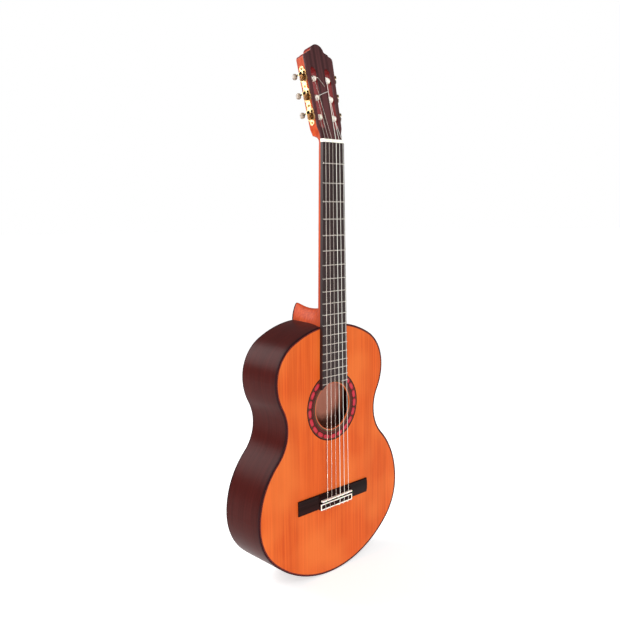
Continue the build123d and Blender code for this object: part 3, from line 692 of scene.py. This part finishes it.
# Oiled ebony: dark brown-black, hardly any lines, a dry sheen.
EBONY = Wood(
    "oiled_ebony", roughness=0.45, specular=0.35, relief_mm=0.01,
    pale="#2E1C1C", deep="#231515", streak="#150B0B", figure_mm=8, figure=0.5,
)
# Polished rosewood of the bridge: darker than the rim, fibres across the soundboard.
BRIDGE_WOOD = Wood(
    "polished_bridge_rosewood", roughness=0.42, specular=0.04, relief_mm=0.01,
    pale="#271413", deep="#1C0D0B", streak="#100706", figure_mm=10, figure=0.5,
    fibre=Fibre.ACROSS,
)
# Bare spruce inside the box: pale straw with close brown lines.
SPRUCE = Wood(
    "bare_spruce", roughness=0.7, specular=0.3, relief_mm=0.03,
    pale="#D9B98A", deep="#C29C68", streak="#B08450", figure_mm=14, figure=0.3,
    fibre=Fibre.ACROSS,
)
# Bare cedar linings: pinkish brown and matt.
CEDAR_LINING = Wood(
    "bare_cedar_lining", roughness=0.75, specular=0.3, relief_mm=0.03,
    pale="#B4755A", deep="#A06048", streak="#8A4C36", ring_mm=2.4, figure_mm=14, figure=0.3,
    fibre=Fibre.ROUND_THE_RIM,
)
# Dyed veneers of purfling and rosette, lacquered with the top. Black: a dull near-black line.
BLACK_VENEER = Wood(
    "black_dyed_veneer", roughness=0.45, specular=0.1,
    pale="#2A1210", deep="#200D0B", streak="#140807", figure_mm=8, figure=0.4,
)
# Cherry: a dark red line between two black ones.
CHERRY_VENEER = Wood(
    "cherry_dyed_veneer", roughness=0.45, specular=0.1,
    pale="#7A2A2C", deep="#662022", streak="#4C1618", figure_mm=8, figure=0.4,
)
# Pink: the pale line nearest the soundhole.
PINK_VENEER = Wood(
    "pink_dyed_veneer", roughness=0.45, specular=0.3,
    pale="#B8695A", deep="#A65A4C", streak="#8C463A", figure_mm=8, figure=0.4,
)
# Olive: a greenish brown line, darker than the cedar beside it.
OLIVE_VENEER = Wood(
    "olive_dyed_veneer", roughness=0.45, specular=0.1,
    pale="#5A5636", deep="#48452A", streak="#34321C", figure_mm=8, figure=0.4,
)
# Gilt sheet brass, engraved: pale gold with brown in the cuts.
GILT_PLATE = EngravedMetal(
    "engraved_gilt_brass", roughness=0.38, relief_mm=0.05, bright="#FFE2B0", dull="#DDB070", mark_mm=2.5
)
# Beads rolled into the plate's edge and polished: small bright gold points.
GILT_BEAD = Metal("gilt_bead", roughness=0.2, bright="#FFE4B4", dull="#EEC888", mark_mm=2.0)
# Cut brass of the gears, painted dark brown: the dark stands in for painted shade round the gears.
GEAR_BRASS = Metal(
    "painted_shade_gear_brass", roughness=0.34, relief_mm=0.02, bright="#8A5E34", dull="#2A1A12", mark_mm=2.4
)
# Turned steel worms, painted near-black: the dark stands in for painted shade round the worms.
WORM_STEEL = Metal(
    "painted_shade_worm_steel", roughness=0.3, relief_mm=0.02, bright="#4A423A", dull="#241E18", mark_mm=1.0
)
# Drawn nickel silver: pale grey with a warm cast, polished by the strings.
FRET_WIRE = Metal(
    "drawn_nickel_silver", roughness=0.26, relief_mm=0.01, bright="#D6CFC6", dull="#AFA79E", mark_mm=1.4
)
# Small turned screws under worn gilding: brown dots on the pale plate.
SCREW_STEEL = Metal(
    "gilt_screw", roughness=0.3, relief_mm=0.01, bright="#8A6A34", dull="#5A421C", mark_mm=1.0
)
# Silvered winding of the bass strings: bright warm grey with a fine rib.
BASS_WIRE = WoundWire(
    "silvered_string_winding", roughness=0.32, relief_mm=0.06, bright="#DDD0C6", dull="#958A82"
)
# Polished bone: warm white, a little deep.
BONE = Pale(
    "polished_bone", roughness=0.3, coat=0.1, coat_roughness=0.2,
    light="#FBF6EC", shade="#EFE6D4", drift_mm=5, depth=0.15,
)
# Moulded roller sleeves: ivory white, smooth.
IVORY_PLASTIC = Pale(
    "ivory_moulded_plastic", roughness=0.32, light="#FDF8EC", shade="#F4ECD8", drift_mm=6, depth=0.1
)
# Smoked imitation pearl of the buttons: grey-brown swirls under a gloss.
PEARL = Pale(
    "imitation_pearl", roughness=0.22, coat=0.2, coat_roughness=0.08, specular=0.4,
    light="#9C8A78", shade="#5C4E44", drift_mm=3, depth=0.1,
)
# Clear nylon string: glassy, takes a warm tone from what is behind it.
NYLON = Pale(
    "clear_nylon", roughness=0.16, specular=0.6, light="#F8DFD0", shade="#EECDB8", drift_mm=20, clearness=0.6
)
# End grain dyed red, black and brown, cut in squares and lacquered flush.
MOSAIC = DyedVeneer(
    "dyed_end_grain_mosaic", roughness=0.45, specular=0.12, relief_mm=0.01,
    dyes=(
        (0.0, "#B83442"), (0.12, "#A41F2B"), (0.30, "#84141D"),
        (0.50, "#2E1410"), (0.62, "#5C2C24"), (0.80, "#7A4634"),
    ),
)


def dress(finish: Finish, *names: str) -> None:
    """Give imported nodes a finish.

    Args:
        finish: what they are made of.
        names: the nodes.
    """
    for name in names:
        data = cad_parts[name].data
        if not data.materials:
            data.materials.append(None)
        for index in range(len(data.materials)):
            data.materials[index] = finish.material()
        log.info("%s: %s", name, finish.name)


def seat(piece: Piece, finish: Finish | None, body: str) -> None:
    """Finish a new piece and fix it to its body.

    Args:
        piece: the new piece.
        finish: its finish, or None where its mesh has its own.
        body: the body it moves with.
    """
    if finish is not None:
        piece.data.materials.clear()
        piece.data.materials.append(finish.material())
    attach(piece, body)
    log.info("%s rides on %s, %d faces", piece.name, body, len(piece.data.polygons))


def eased(
    node: str, finish: Finish, radius_mm: float, chosen: Callable[[Edge], bool]
) -> None:
    """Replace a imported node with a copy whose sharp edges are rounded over.

    Args:
        node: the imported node.
        finish: what it is made of.
        radius_mm: how far each edge is taken back.
        chosen: picks the edges among the sharp ones.
    """
    mesh = merged_copy(node)
    bmesh.ops.dissolve_limit(mesh, angle_limit=SEAM_ANGLE, verts=mesh.verts, edges=mesh.edges)
    sharp = [
        edge for edge in mesh.edges
        if len(edge.link_faces) == 2 and edge.calc_face_angle() > SHARP_ANGLE and chosen(edge)
    ]
    bmesh.ops.bevel(
        mesh, geom=sharp, offset=radius_mm * MM, segments=3, profile=0.5, affect="EDGES", clamp_overlap=True
    )
    piece = new_piece(node + "_eased", mesh, 30)
    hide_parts(node)
    seat(piece, finish, "root")


# ---------- the box
@dataclass
class Soundbox:
    """Soundboard, back, sides, bindings and what is glued inside."""

    lines: tuple[tuple[float, Finish], ...] = ((0.6, BLACK_VENEER), (1.0, CHERRY_VENEER), (0.6, BLACK_VENEER))
    line_start_mm: float = 0.02
    line_proud_mm: float = 0.03
    line_depth_mm: float = 0.5
    line_step_mm: float = 5.0
    binding_round_mm: float = 1.1

    def __post_init__(self) -> None:
        """Find the middle of the box, by which its outside is told from its inside."""
        front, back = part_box("soundboard")[0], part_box("back")
        self.middle = Vector((0, (back[1].y + front.y) / 2, (back[0].z + back[1].z) / 2))

    def build(self) -> None:
        """Round the bindings over and lay the purfling lines beside the top one."""
        for node in ("top_binding", "back_binding"):
            eased(node, BINDING_WOOD, self.binding_round_mm, self.outer_edge)
        facing = Vector((0, -1, 0))
        edge = even_loop(rim_loops("top_binding", facing)[1], self.line_step_mm * MM)
        start = self.line_start_mm
        for number, (width, veneer) in enumerate(self.lines, 1):
            sizes = (-start, -(start + width), self.line_proud_mm, self.line_depth_mm)
            strip = new_piece(f"purfling_{number}", band(edge, facing, *(size * MM for size in sizes)))
            seat(strip, veneer, "root")
            start += width

    def outer_edge(self, edge: Edge) -> bool:
        """Tell whether a binding's edge lies on the outside of the box.

        Args:
            edge: one of its sharp edges.

        Returns:
            Whether it does.
        """
        flat = [abs(face.normal.y) > 0.9 for face in edge.link_faces]
        if sum(flat) != 1:
            return False
        side = edge.link_faces[flat.index(False)]
        middle = edge.verts[0].co.lerp(edge.verts[1].co, 0.5)
        outwards = middle - self.middle
        front_or_back = edge.link_faces[flat.index(True)].normal.y * outwards.y > 0
        outwards.y = 0
        return side.normal.dot(outwards) > 0 and front_or_back

    def dress(self) -> None:
        """Finish the plates, the rim and the inside."""
        dress(CEDAR_TOP, "soundboard")
        dress(ROSEWOOD_RIM, "side_bass", "side_treble", "end_graft")
        dress(ROSEWOOD_BACK, "back")
        dress(MAHOGANY, "tail_block")
        dress(CEDAR_LINING, "top_linings", "back_linings", "back_braces", "back_centre_strip")
        dress(SPRUCE, "harmonic_bars", "fan_braces", "bridge_patch")


# ---------- what the two node trees share
def open_tree(name: str, inputs: dict[str, str]) -> Tree:
    """Start a Geometry Nodes tree.

    Args:
        name: its name.
        inputs: the kind of each input, by the input's name.

    Returns:
        The tree, with its output declared.
    """
    tree = bpy.data.node_groups.new(name, "GeometryNodeTree")
    tree.interface.new_socket("Geometry", in_out="OUTPUT", socket_type="NodeSocketGeometry")
    for item, kind in inputs.items():
        tree.interface.new_socket(item, in_out="INPUT", socket_type="NodeSocket" + kind)
    return tree


def close_tree(tree: Tree, placed: Socket, smooth: bool, finish: Finish) -> Tree:
    """Realise what a tree has placed, give it its material and send it out.

    Args:
        tree: the tree.
        placed: the instances in their places.
        smooth: whether they are shaded smooth.
        finish: what they are made of.

    Returns:
        The tree.
    """
    steps = [("RealizeInstances", {})] + [("SetShadeSmooth", {})] * smooth
    for step, inputs in steps + [("SetMaterial", {"Material": finish.material()})]:
        placed = add_node(tree, "GeometryNode" + step, None, {"Geometry": placed, **inputs}).outputs[0]
    add_node(tree, "NodeGroupOutput", None, {"Geometry": placed})
    return tree


# ---------- the rosette
@dataclass
class Rosette:
    """The ring inlaid round the soundhole: dyed veneer rings with a mosaic of small squares."""

    motifs: int = 21
    columns_per_motif: int = 14
    rows: int = 7
    row_mm: float = 1.1
    band_inner_mm: float = 54.0
    rope_inner_mm: float = 50.0
    rope_rows: int = 3
    tile_depth_mm: float = 0.8
    tile_share: float = 0.93
    seat_mm: float = 0.35
    steps: int = 128
    # each line's outer radius and its veneer, from the soundhole to the rope band
    inner_lines: tuple[tuple[float, int], ...] = (
        (45.2, 1), (45.8, 0), (47.4, 2), (48.0, 0), (49.4, 3), (50.0, 0),
    )
    # how far each line reaches past the mosaic, and its veneer
    outer_lines: tuple[tuple[float, int], ...] = ((0.5, 2), (1.1, 0), (1.6, 3))
    veneers: tuple[Finish, ...] = (BLACK_VENEER, PINK_VENEER, OLIVE_VENEER, CHERRY_VENEER)

    def __post_init__(self) -> None:
        """Take the ring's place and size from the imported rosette."""
        low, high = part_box("rosette")
        self.middle = Vector((0, low.y, (low.z + high.z) / 2))
        self.outer = (high.x - low.x) / 2
        self.inner = min(
            math.hypot(v.co.x, v.co.z - self.middle.z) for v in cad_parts["rosette"].data.vertices
        )
        self.depth = high.y - low.y

    def ring(self, inner: float, outer: float, drop: float, mesh: Mesh, index: int) -> None:
        """Add one flat ring to the mesh.

        Args:
            inner: inner radius.
            outer: outer radius.
            drop: how far its face lies behind the soundboard's.
            mesh: the mesh it is added to.
            index: the material it takes.
        """
        turns = [2 * math.pi * k / self.steps for k in range(self.steps)]
        ways = [Vector((math.sin(turn), 0, math.cos(turn))) for turn in turns]
        corners = ((inner, drop), (outer, drop), (outer, self.depth), (inner, self.depth))
        loops = [
            [mesh.verts.new(self.middle + way * radius + Vector((0, back, 0))) for way in ways]
            for radius, back in corners
        ]
        for a, b in zip(loops, loops[1:] + loops[:1]):
            for k in range(self.steps):
                n = (k + 1) % self.steps
                mesh.faces.new((a[k], b[k], b[n], a[n])).material_index = index

    def mosaic_tree(self) -> Tree:
        """Build the tree that lays rows of squares round the soundhole.

        Returns:
            The tree, with inputs for its counts and sizes.
        """
        tree = open_tree("mosaic_rows", {
            "Columns": "Int", "Rows": "Int", "Motif Columns": "Int", "Inner Radius": "Float",
            "Row Pitch": "Float", "Tile Depth": "Float", "Height": "Float", "Face": "Float",
        })
        given = add_node(tree, "NodeGroupInput").outputs

        work = Sums(tree)
        count = work("MULTIPLY", given["Columns"], given["Rows"])
        index = add_node(tree, "GeometryNodeInputIndex").outputs[0]
        row = work("FLOORED_MODULO", index, given["Rows"])
        column = work("FLOOR", work("DIVIDE", index, given["Rows"]))
        step = work("DIVIDE", 2 * math.pi, given["Columns"])
        turn = work("MULTIPLY", column, step)
        outwards = work("MULTIPLY", work("ADD", row, 0.5), given["Row Pitch"])
        radius = work("ADD", given["Inner Radius"], outwards)
        place = add_node(tree, "ShaderNodeCombineXYZ", None, {
            "X": work("MULTIPLY", radius, work("SINE", turn)),
            "Y": work("ADD", given["Face"], work("MULTIPLY", given["Tile Depth"], 0.5)),
            "Z": work("ADD", given["Height"], work("MULTIPLY", radius, work("COSINE", turn))),
        }).outputs[0]
        points = add_node(tree, "GeometryNodeMeshLine", None, {"Count": count}).outputs[0]
        points = add_node(
            tree, "GeometryNodeSetPosition", None, {"Geometry": points, "Position": place}
        ).outputs[0]
        square = add_node(tree, "GeometryNodeMeshCube").outputs["Mesh"]
        size = add_node(tree, "ShaderNodeCombineXYZ", None, {
            "X": work("MULTIPLY", work("MULTIPLY", radius, step), self.tile_share),
            "Y": given["Tile Depth"],
            "Z": work("MULTIPLY", given["Row Pitch"], self.tile_share),
        }).outputs[0]
        facing = add_node(tree, "ShaderNodeCombineXYZ", None, {"Y": turn}).outputs[0]
        number = self.square_number(tree, row, column, given)
        placed = add_node(tree, "GeometryNodeInstanceOnPoints", None, {
            "Points": points, "Instance": square, "Rotation": facing, "Scale": size,
        }).outputs[0]
        stored = add_node(tree, "GeometryNodeStoreNamedAttribute", {"domain": "INSTANCE"}, {
            "Geometry": placed, "Name": "veneer", "Value": number,
        }).outputs[0]
        return close_tree(tree, stored, False, MOSAIC)

    @staticmethod
    def square_number(tree: Tree, row: Any, column: Any, given: Any) -> Socket:
        """Number each square for its dye: a lozenge of reds in each motif, a dark checker round it.

        Args:
            tree: the tree that lays the squares.
            row: the square's row, from the soundhole outwards.
            column: its column round the ring.
            given: the tree's inputs.

        Returns:
            The number, from 0 for the palest red to 1.
        """
        work = Sums(tree)
        away = []
        along = work("FLOORED_MODULO", column, given["Motif Columns"])
        for place, count in ((along, given["Motif Columns"]), (row, given["Rows"])):
            half = work("MULTIPLY", work("SUBTRACT", count, 1.0), 0.5)
            away.append(work("DIVIDE", work("ABSOLUTE", work("SUBTRACT", place, half)), half))
        flank = work("MULTIPLY", work("POWER", away[0], 4.0), 0.48)
        brim = work("MULTIPLY", work("POWER", away[1], 3.0), 0.26)
        chance = add_node(tree, "FunctionNodeRandomValue", None, {2: -0.035, 3: 0.035, 8: 7}).outputs[1]
        reach = work("ADD", work("ADD", flank, brim), chance)
        checker = work("FLOORED_MODULO", work("ADD", row, column), 2.0)
        outside = work("ADD", 0.55, work("MULTIPLY", checker, 0.12))
        is_outside = work("GREATER_THAN", reach, 0.42)
        inside = work("MULTIPLY", work("SUBTRACT", 1.0, is_outside), reach)
        return work("ADD", work("MULTIPLY", is_outside, outside), inside)

    def build(self) -> None:
        """Make the rings and the mosaic and put them in place of the plain packed ring."""
        inner, rope = self.inner / MM, self.rope_inner_mm
        rope_edge = rope + self.rope_rows * self.row_mm
        edge = self.band_inner_mm + self.rows * self.row_mm
        lines = [(radius, 0.0, veneer) for radius, veneer in self.inner_lines]
        lines += [(rope_edge, self.seat_mm, 0), (self.band_inner_mm, 0.0, 0), (edge, self.seat_mm, 0)]
        lines += [(edge + reach, 0.0, veneer) for reach, veneer in self.outer_lines]
        lines.append((self.outer / MM, 0.0, 0))
        mesh = bmesh.new()
        for radius, drop, veneer in lines:
            self.ring(inner * MM, radius * MM, drop * MM, mesh, veneer)
            inner = radius
        rings = new_piece("rosette_rings", mesh)
        for veneer in self.veneers:
            rings.data.materials.append(veneer.material())
        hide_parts("rosette")
        seat(rings, None, "root")
        tree = self.mosaic_tree()
        for name, inner, rows, motif in (
            ("rosette_mosaic", self.band_inner_mm, self.rows, self.columns_per_motif),
            ("rosette_rope", rope, self.rope_rows, 2),
        ):
            tiles = grown(name, tree, {
                "Columns": self.motifs * self.columns_per_motif,
                "Rows": rows,
                "Motif Columns": motif,
                "Inner Radius": inner * MM,
                "Row Pitch": self.row_mm * MM,
                "Tile Depth": self.tile_depth_mm * MM,
                "Height": self.middle.z,
                "Face": self.middle.y,
            })
            seat(tiles, None, "root")


# ---------- neck and head
@dataclass
class Neck:
    """Neck, heel and head with the fingerboard, frets and nut."""

    round_mm: float = 0.5
    shortest_mm: float = 3.0
    cap_face_mm: float = 0.1

    def build(self) -> None:
        """Round over the nut and the rim of the heel's cap."""
        eased("nut", BONE, self.round_mm, self.long_edge)
        eased("heel_cap", BINDING_WOOD, self.round_mm, self.cap_rim)

    def long_edge(self, edge: Edge) -> bool:
        """Tell whether an edge of the nut is longer than a string slot is wide."""
        return edge.calc_length() > self.shortest_mm * MM

    def cap_rim(self, edge: Edge) -> bool:
        """Tell whether an edge of the heel's cap runs round its outer face."""
        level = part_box("heel_cap")[1].y - self.cap_face_mm * MM
        return all(vertex.co.y > level for vertex in edge.verts)

    def dress(self) -> None:
        """Finish the neck's woods and frets."""
        dress(MAHOGANY, "neck")
        dress(HEAD_VENEER, "head_overlay")
        dress(EBONY, "fingerboard")
        dress(FRET_WIRE, "frets")


# ---------- machine heads
@dataclass
class MachineHeads:
    """Two gilt plates, each with three worms, gears, rollers and buttons."""

    bead_mm: float = 0.55
    bead_step_mm: float = 1.9
    bead_inset_mm: float = 0.9
    edge_step_mm: float = 0.8
    strings: int = 6

    def bead_tree(self) -> Tree:
        """Build the tree that sets a row of beads along a closed line.

        Returns:
            The tree, with inputs for the beads' radius and spacing.
        """
        tree = open_tree("bead_row", {"Line": "Geometry", "Bead Radius": "Float", "Bead Step": "Float"})
        given = add_node(tree, "NodeGroupInput").outputs
        line = add_node(tree, "GeometryNodeMeshToCurve", None, {"Mesh": given["Line"]}).outputs[0]
        apart = {"Curve": line, "Length": given["Bead Step"]}
        spaced = add_node(tree, "GeometryNodeCurveToPoints", {"mode": "LENGTH"}, apart).outputs["Points"]
        ball = {"Radius": given["Bead Radius"], "Segments": 8, "Rings": 5}
        bead = add_node(tree, "GeometryNodeMeshUVSphere", None, ball).outputs["Mesh"]
        placed = add_node(
            tree, "GeometryNodeInstanceOnPoints", None, {"Points": spaced, "Instance": bead}
        ).outputs[0]
        return close_tree(tree, placed, True, GILT_BEAD)

    def build(self) -> None:
        """Set a beaded border on each plate."""
        tree = self.bead_tree()
        for side, sense in (("treble", 1), ("bass", -1)):
            node = f"machine_plate_{side}"
            facing = self.plate_facing(node, sense)
            rim = even_loop(rim_loops(node, facing)[0], self.edge_step_mm * MM)
            edge = inset(rim, facing, self.bead_inset_mm * MM)
            sizes = {"Bead Radius": self.bead_mm * MM, "Bead Step": self.bead_step_mm * MM}
            seat(grown(f"plate_beads_{side}", tree, sizes, edge), None, "root")

    @staticmethod
    def plate_facing(node: str, sense: int) -> Vector:
        """Find which way a plate's outer face looks: the mean of its faces that look outwards.

        Args:
            node: the plate.
            sense: 1 on the treble side, -1 on the bass side.

        Returns:
            The direction, of length 1.
        """
        total = Vector()
        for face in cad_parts[node].data.polygons:
            if face.normal.x * sense > 0.99:
                total += face.normal * face.area
        return total.normalized()

    def dress(self) -> None:
        """Finish plates, screws and every turning part."""
        dress(GILT_PLATE, "machine_plate_treble", "machine_plate_bass")
        dress(SCREW_STEEL, "plate_screws")
        for n in range(1, self.strings + 1):
            dress(IVORY_PLASTIC, f"roller_{n}")
            dress(GEAR_BRASS, f"gear_{n}")
            dress(WORM_STEEL, f"worm_{n}")
            dress(PEARL, f"button_{n}")


# ---------- strings
@dataclass
class Strings:
    """Three wound basses and three clear trebles, with the ends left over at the rollers."""

    tail_radius_mm: float = 0.45
    steps: int = 4
    # places on the head: towards the treble side, along the head from the nut, above its face
    bass_end_mm: tuple[tuple[float, float, float], ...] = (
        (-13.2, 118.0, -1.2), (-9.2, 116.0, 0.75), (-3.0, 109.6, 0.55), (3.4, 102.4, 0.5),
    )
    treble_end_mm: tuple[tuple[float, float, float], ...] = (
        (13.0, 94.8, -1.6), (9.4, 93.4, 0.7), (0.0, 90.0, 0.55), (-9.3, 86.0, 0.7), (-13.0, 84.4, -0.8),
    )

    @staticmethod
    def head_point(across_mm: float, along_mm: float, height_mm: float) -> Vector:
        """Give a place on the head's tilted face.

        Args:
            across_mm: distance towards the treble side.
            along_mm: distance along the head from the nut.
            height_mm: height above the face.

        Returns:
            The point in metres.
        """
        sine, cosine = math.sin(HEAD_TILT), math.cos(HEAD_TILT)
        y = HEAD_FACE_MM + along_mm * sine - height_mm * cosine
        return Vector((across_mm, y, along_mm * cosine + height_mm * sine)) * MM

    def flowing(self, line: Loop) -> Loop:
        """Draw a smooth line through some points.

        Args:
            line: the points.

        Returns:
            The points and those between them.
        """
        fine = []
        for k in range(len(line) - 1):
            p = [line[max(0, min(len(line) - 1, k + d))] for d in (-1, 0, 1, 2)]
            for step in range(self.steps):
                t = step / self.steps
                fine.append(0.5 * (
                    2 * p[1] + (p[2] - p[0]) * t + (2 * p[0] - 5 * p[1] + 4 * p[2] - p[3]) * t * t
                    + (3 * p[1] - p[0] - 3 * p[2] + p[3]) * t ** 3
                ))
        return fine + line[-1:]

    def build(self) -> None:
        """Lay the two long string ends across the head's middle web."""
        for name, places, finish, slot in (
            ("string_end_bass", self.bass_end_mm, BASS_WIRE, "wound_string"),
            ("string_end_treble", self.treble_end_mm, NYLON, "clear_nylon"),
        ):
            line = self.flowing([self.head_point(*place) for place in places])
            rod = new_piece(name, tube(line, [self.tail_radius_mm * MM] * len(line)))
            seat(rod, finish, "root")

    def dress(self) -> None:
        """Finish the strings and their turns on the rollers."""
        dress(BASS_WIRE, "bass_strings", "winding_4", "winding_5", "winding_6")
        dress(NYLON, "treble_strings", "winding_1", "winding_2", "winding_3")


# ---------- bridge
@dataclass
class Bridge:
    """Bridge with its saddle and the white frame of its tie block."""

    wood_round_mm: float = 0.4
    bone_round_mm: float = 0.3
    shortest_mm: float = 6.0

    def build(self) -> None:
        """Round over the long edges."""
        eased("bridge", BRIDGE_WOOD, self.wood_round_mm, self.long_edge)
        eased("tie_block_inlay", BONE, self.bone_round_mm, self.long_edge)

    def long_edge(self, edge: Edge) -> bool:
        """Tell whether an edge is longer than the details of the bridge."""
        return edge.calc_length() > self.shortest_mm * MM

    def dress(self) -> None:
        """Finish the saddle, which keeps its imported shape."""
        dress(BONE, "saddle")


# ---------- studio
@dataclass
class Studio:
    """Pale floor, soft lights and the camera."""

    floor_radius: float = 30.0
    floor_gap: float = 0.0005
    floor_glow: float = 0.6
    air_light: float = 0.3
    air_seen: float = 1.0
    # each distant light's name, strength, spread in degrees and direction
    suns: tuple[tuple[str, float, float, Point], ...] = (
        ("key", 0.5, 24, (0.35, 0.62, -0.72)),
        ("front", 2.5, 10, (0.68, 0.9, -0.1)),
    )
    rim_size: float = 1.2
    rim_energy: float = 34.0
    rim_distance: float = 1.9
    rim_target: Point = (-0.1, 0.05, -0.45)
    rim_side: Point = (-0.38, 0.755, 0.53)
    lens: float = 42.16
    camera_place: Point = (-0.925, -0.938, -0.127)
    camera_right: Point = (0.73227, -0.68094, -0.01026)
    camera_down: Point = (-0.09567, -0.08794, -0.99152)
    camera_ahead: Point = (0.67426, 0.72704, -0.12954)

    def build(self) -> None:
        """Set up the floor, the lights, the surroundings and the camera."""
        self.floor()
        self.air()
        for name, energy, spread, towards in self.suns:
            sun = self.lamp(name, "SUN", energy, Vector(towards), Vector())
            sun.angle = math.radians(spread)
        away = Vector(self.rim_side).normalized()
        place = Vector(self.rim_target) + away * self.rim_distance
        strip = self.lamp("rim_strip", "AREA", self.rim_energy, -away, place)
        strip.size = self.rim_size
        self.camera()

    def floor(self) -> None:
        """Lay a plain pale floor under the guitar's tail."""
        mesh = bmesh.new()
        bmesh.ops.create_circle(mesh, cap_ends=True, segments=96, radius=self.floor_radius)
        bmesh.ops.translate(mesh, verts=mesh.verts, vec=(0, 0, CAD_BOX[0][2] - self.floor_gap))
        ground = new_piece("floor", mesh)
        paint = bpy.data.materials.new("matt_white_floor")
        paint.use_nodes = True
        for socket, value in (
            ("Base Color", linear("#F6F6F5")), ("Roughness", 0.9), ("Specular IOR Level", 0.1),
            ("Emission Color", linear("#FFFFFF")), ("Emission Strength", self.floor_glow),
        ):
            paint.node_tree.nodes["Principled BSDF"].inputs[socket].default_value = value
        ground.data.materials.append(paint)

    def air(self) -> None:
        """Surround the guitar with white that looks brighter than it lights."""
        world = bpy.data.worlds.new("studio_air")
        world.use_nodes = True
        tree = world.node_tree
        air = tree.nodes["Background"]
        air.inputs["Color"].default_value = linear("#FFFFFF")
        seen = add_node(tree, "ShaderNodeLightPath").outputs["Is Camera Ray"]
        reach = {"Value": seen, "To Min": self.air_light, "To Max": self.air_seen}
        strength = add_node(tree, "ShaderNodeMapRange", None, reach).outputs[0]
        tree.links.new(strength, air.inputs["Strength"])
        bpy.context.scene.world = world
        bpy.context.scene.view_settings.view_transform = "Standard"
        bpy.context.scene.view_settings.look = "None"

    @staticmethod
    def lamp(name: str, kind: str, energy: float, towards: Vector, place: Vector) -> bpy.types.Light:
        """Hang one lamp.

        Args:
            name: the lamp's name.
            kind: SUN or AREA.
            energy: its strength.
            towards: the way it shines.
            place: where it hangs.

        Returns:
            Its light, for the settings of its own kind.
        """
        light = bpy.data.lights.new(name, kind)
        light.energy = energy
        lamp = bpy.data.objects.new(name, light)
        lamp.location = place
        lamp.rotation_euler = towards.to_track_quat("-Z", "Y").to_euler()
        bpy.context.scene.collection.objects.link(lamp)
        return light

    def camera(self) -> None:
        """Stand the camera at the front left of the guitar, a little above its soundhole."""
        data = bpy.data.cameras.new("camera")
        data.lens, data.sensor_width, data.clip_end = self.lens, 36, 100
        eye = bpy.data.objects.new("camera", data)
        axes = (Vector(self.camera_right), -Vector(self.camera_down), -Vector(self.camera_ahead))
        eye.matrix_world = Matrix.Translation(self.camera_place) @ Matrix(axes).transposed().to_4x4()
        bpy.context.scene.collection.objects.link(eye)
        bpy.context.scene.camera = eye


def main() -> None:
    """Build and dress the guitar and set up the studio."""
    logging.basicConfig(level=logging.INFO, format="%(name)s: %(message)s")
    soundbox, neck, machines, strings, bridge = Soundbox(), Neck(), MachineHeads(), Strings(), Bridge()
    for part in (soundbox, neck, machines, strings, bridge):
        part.build()
        part.dress()
        log.info("%s is finished", type(part).__name__)
    Rosette().build()
    Studio().build()


if __name__ == "__main__":
    main()
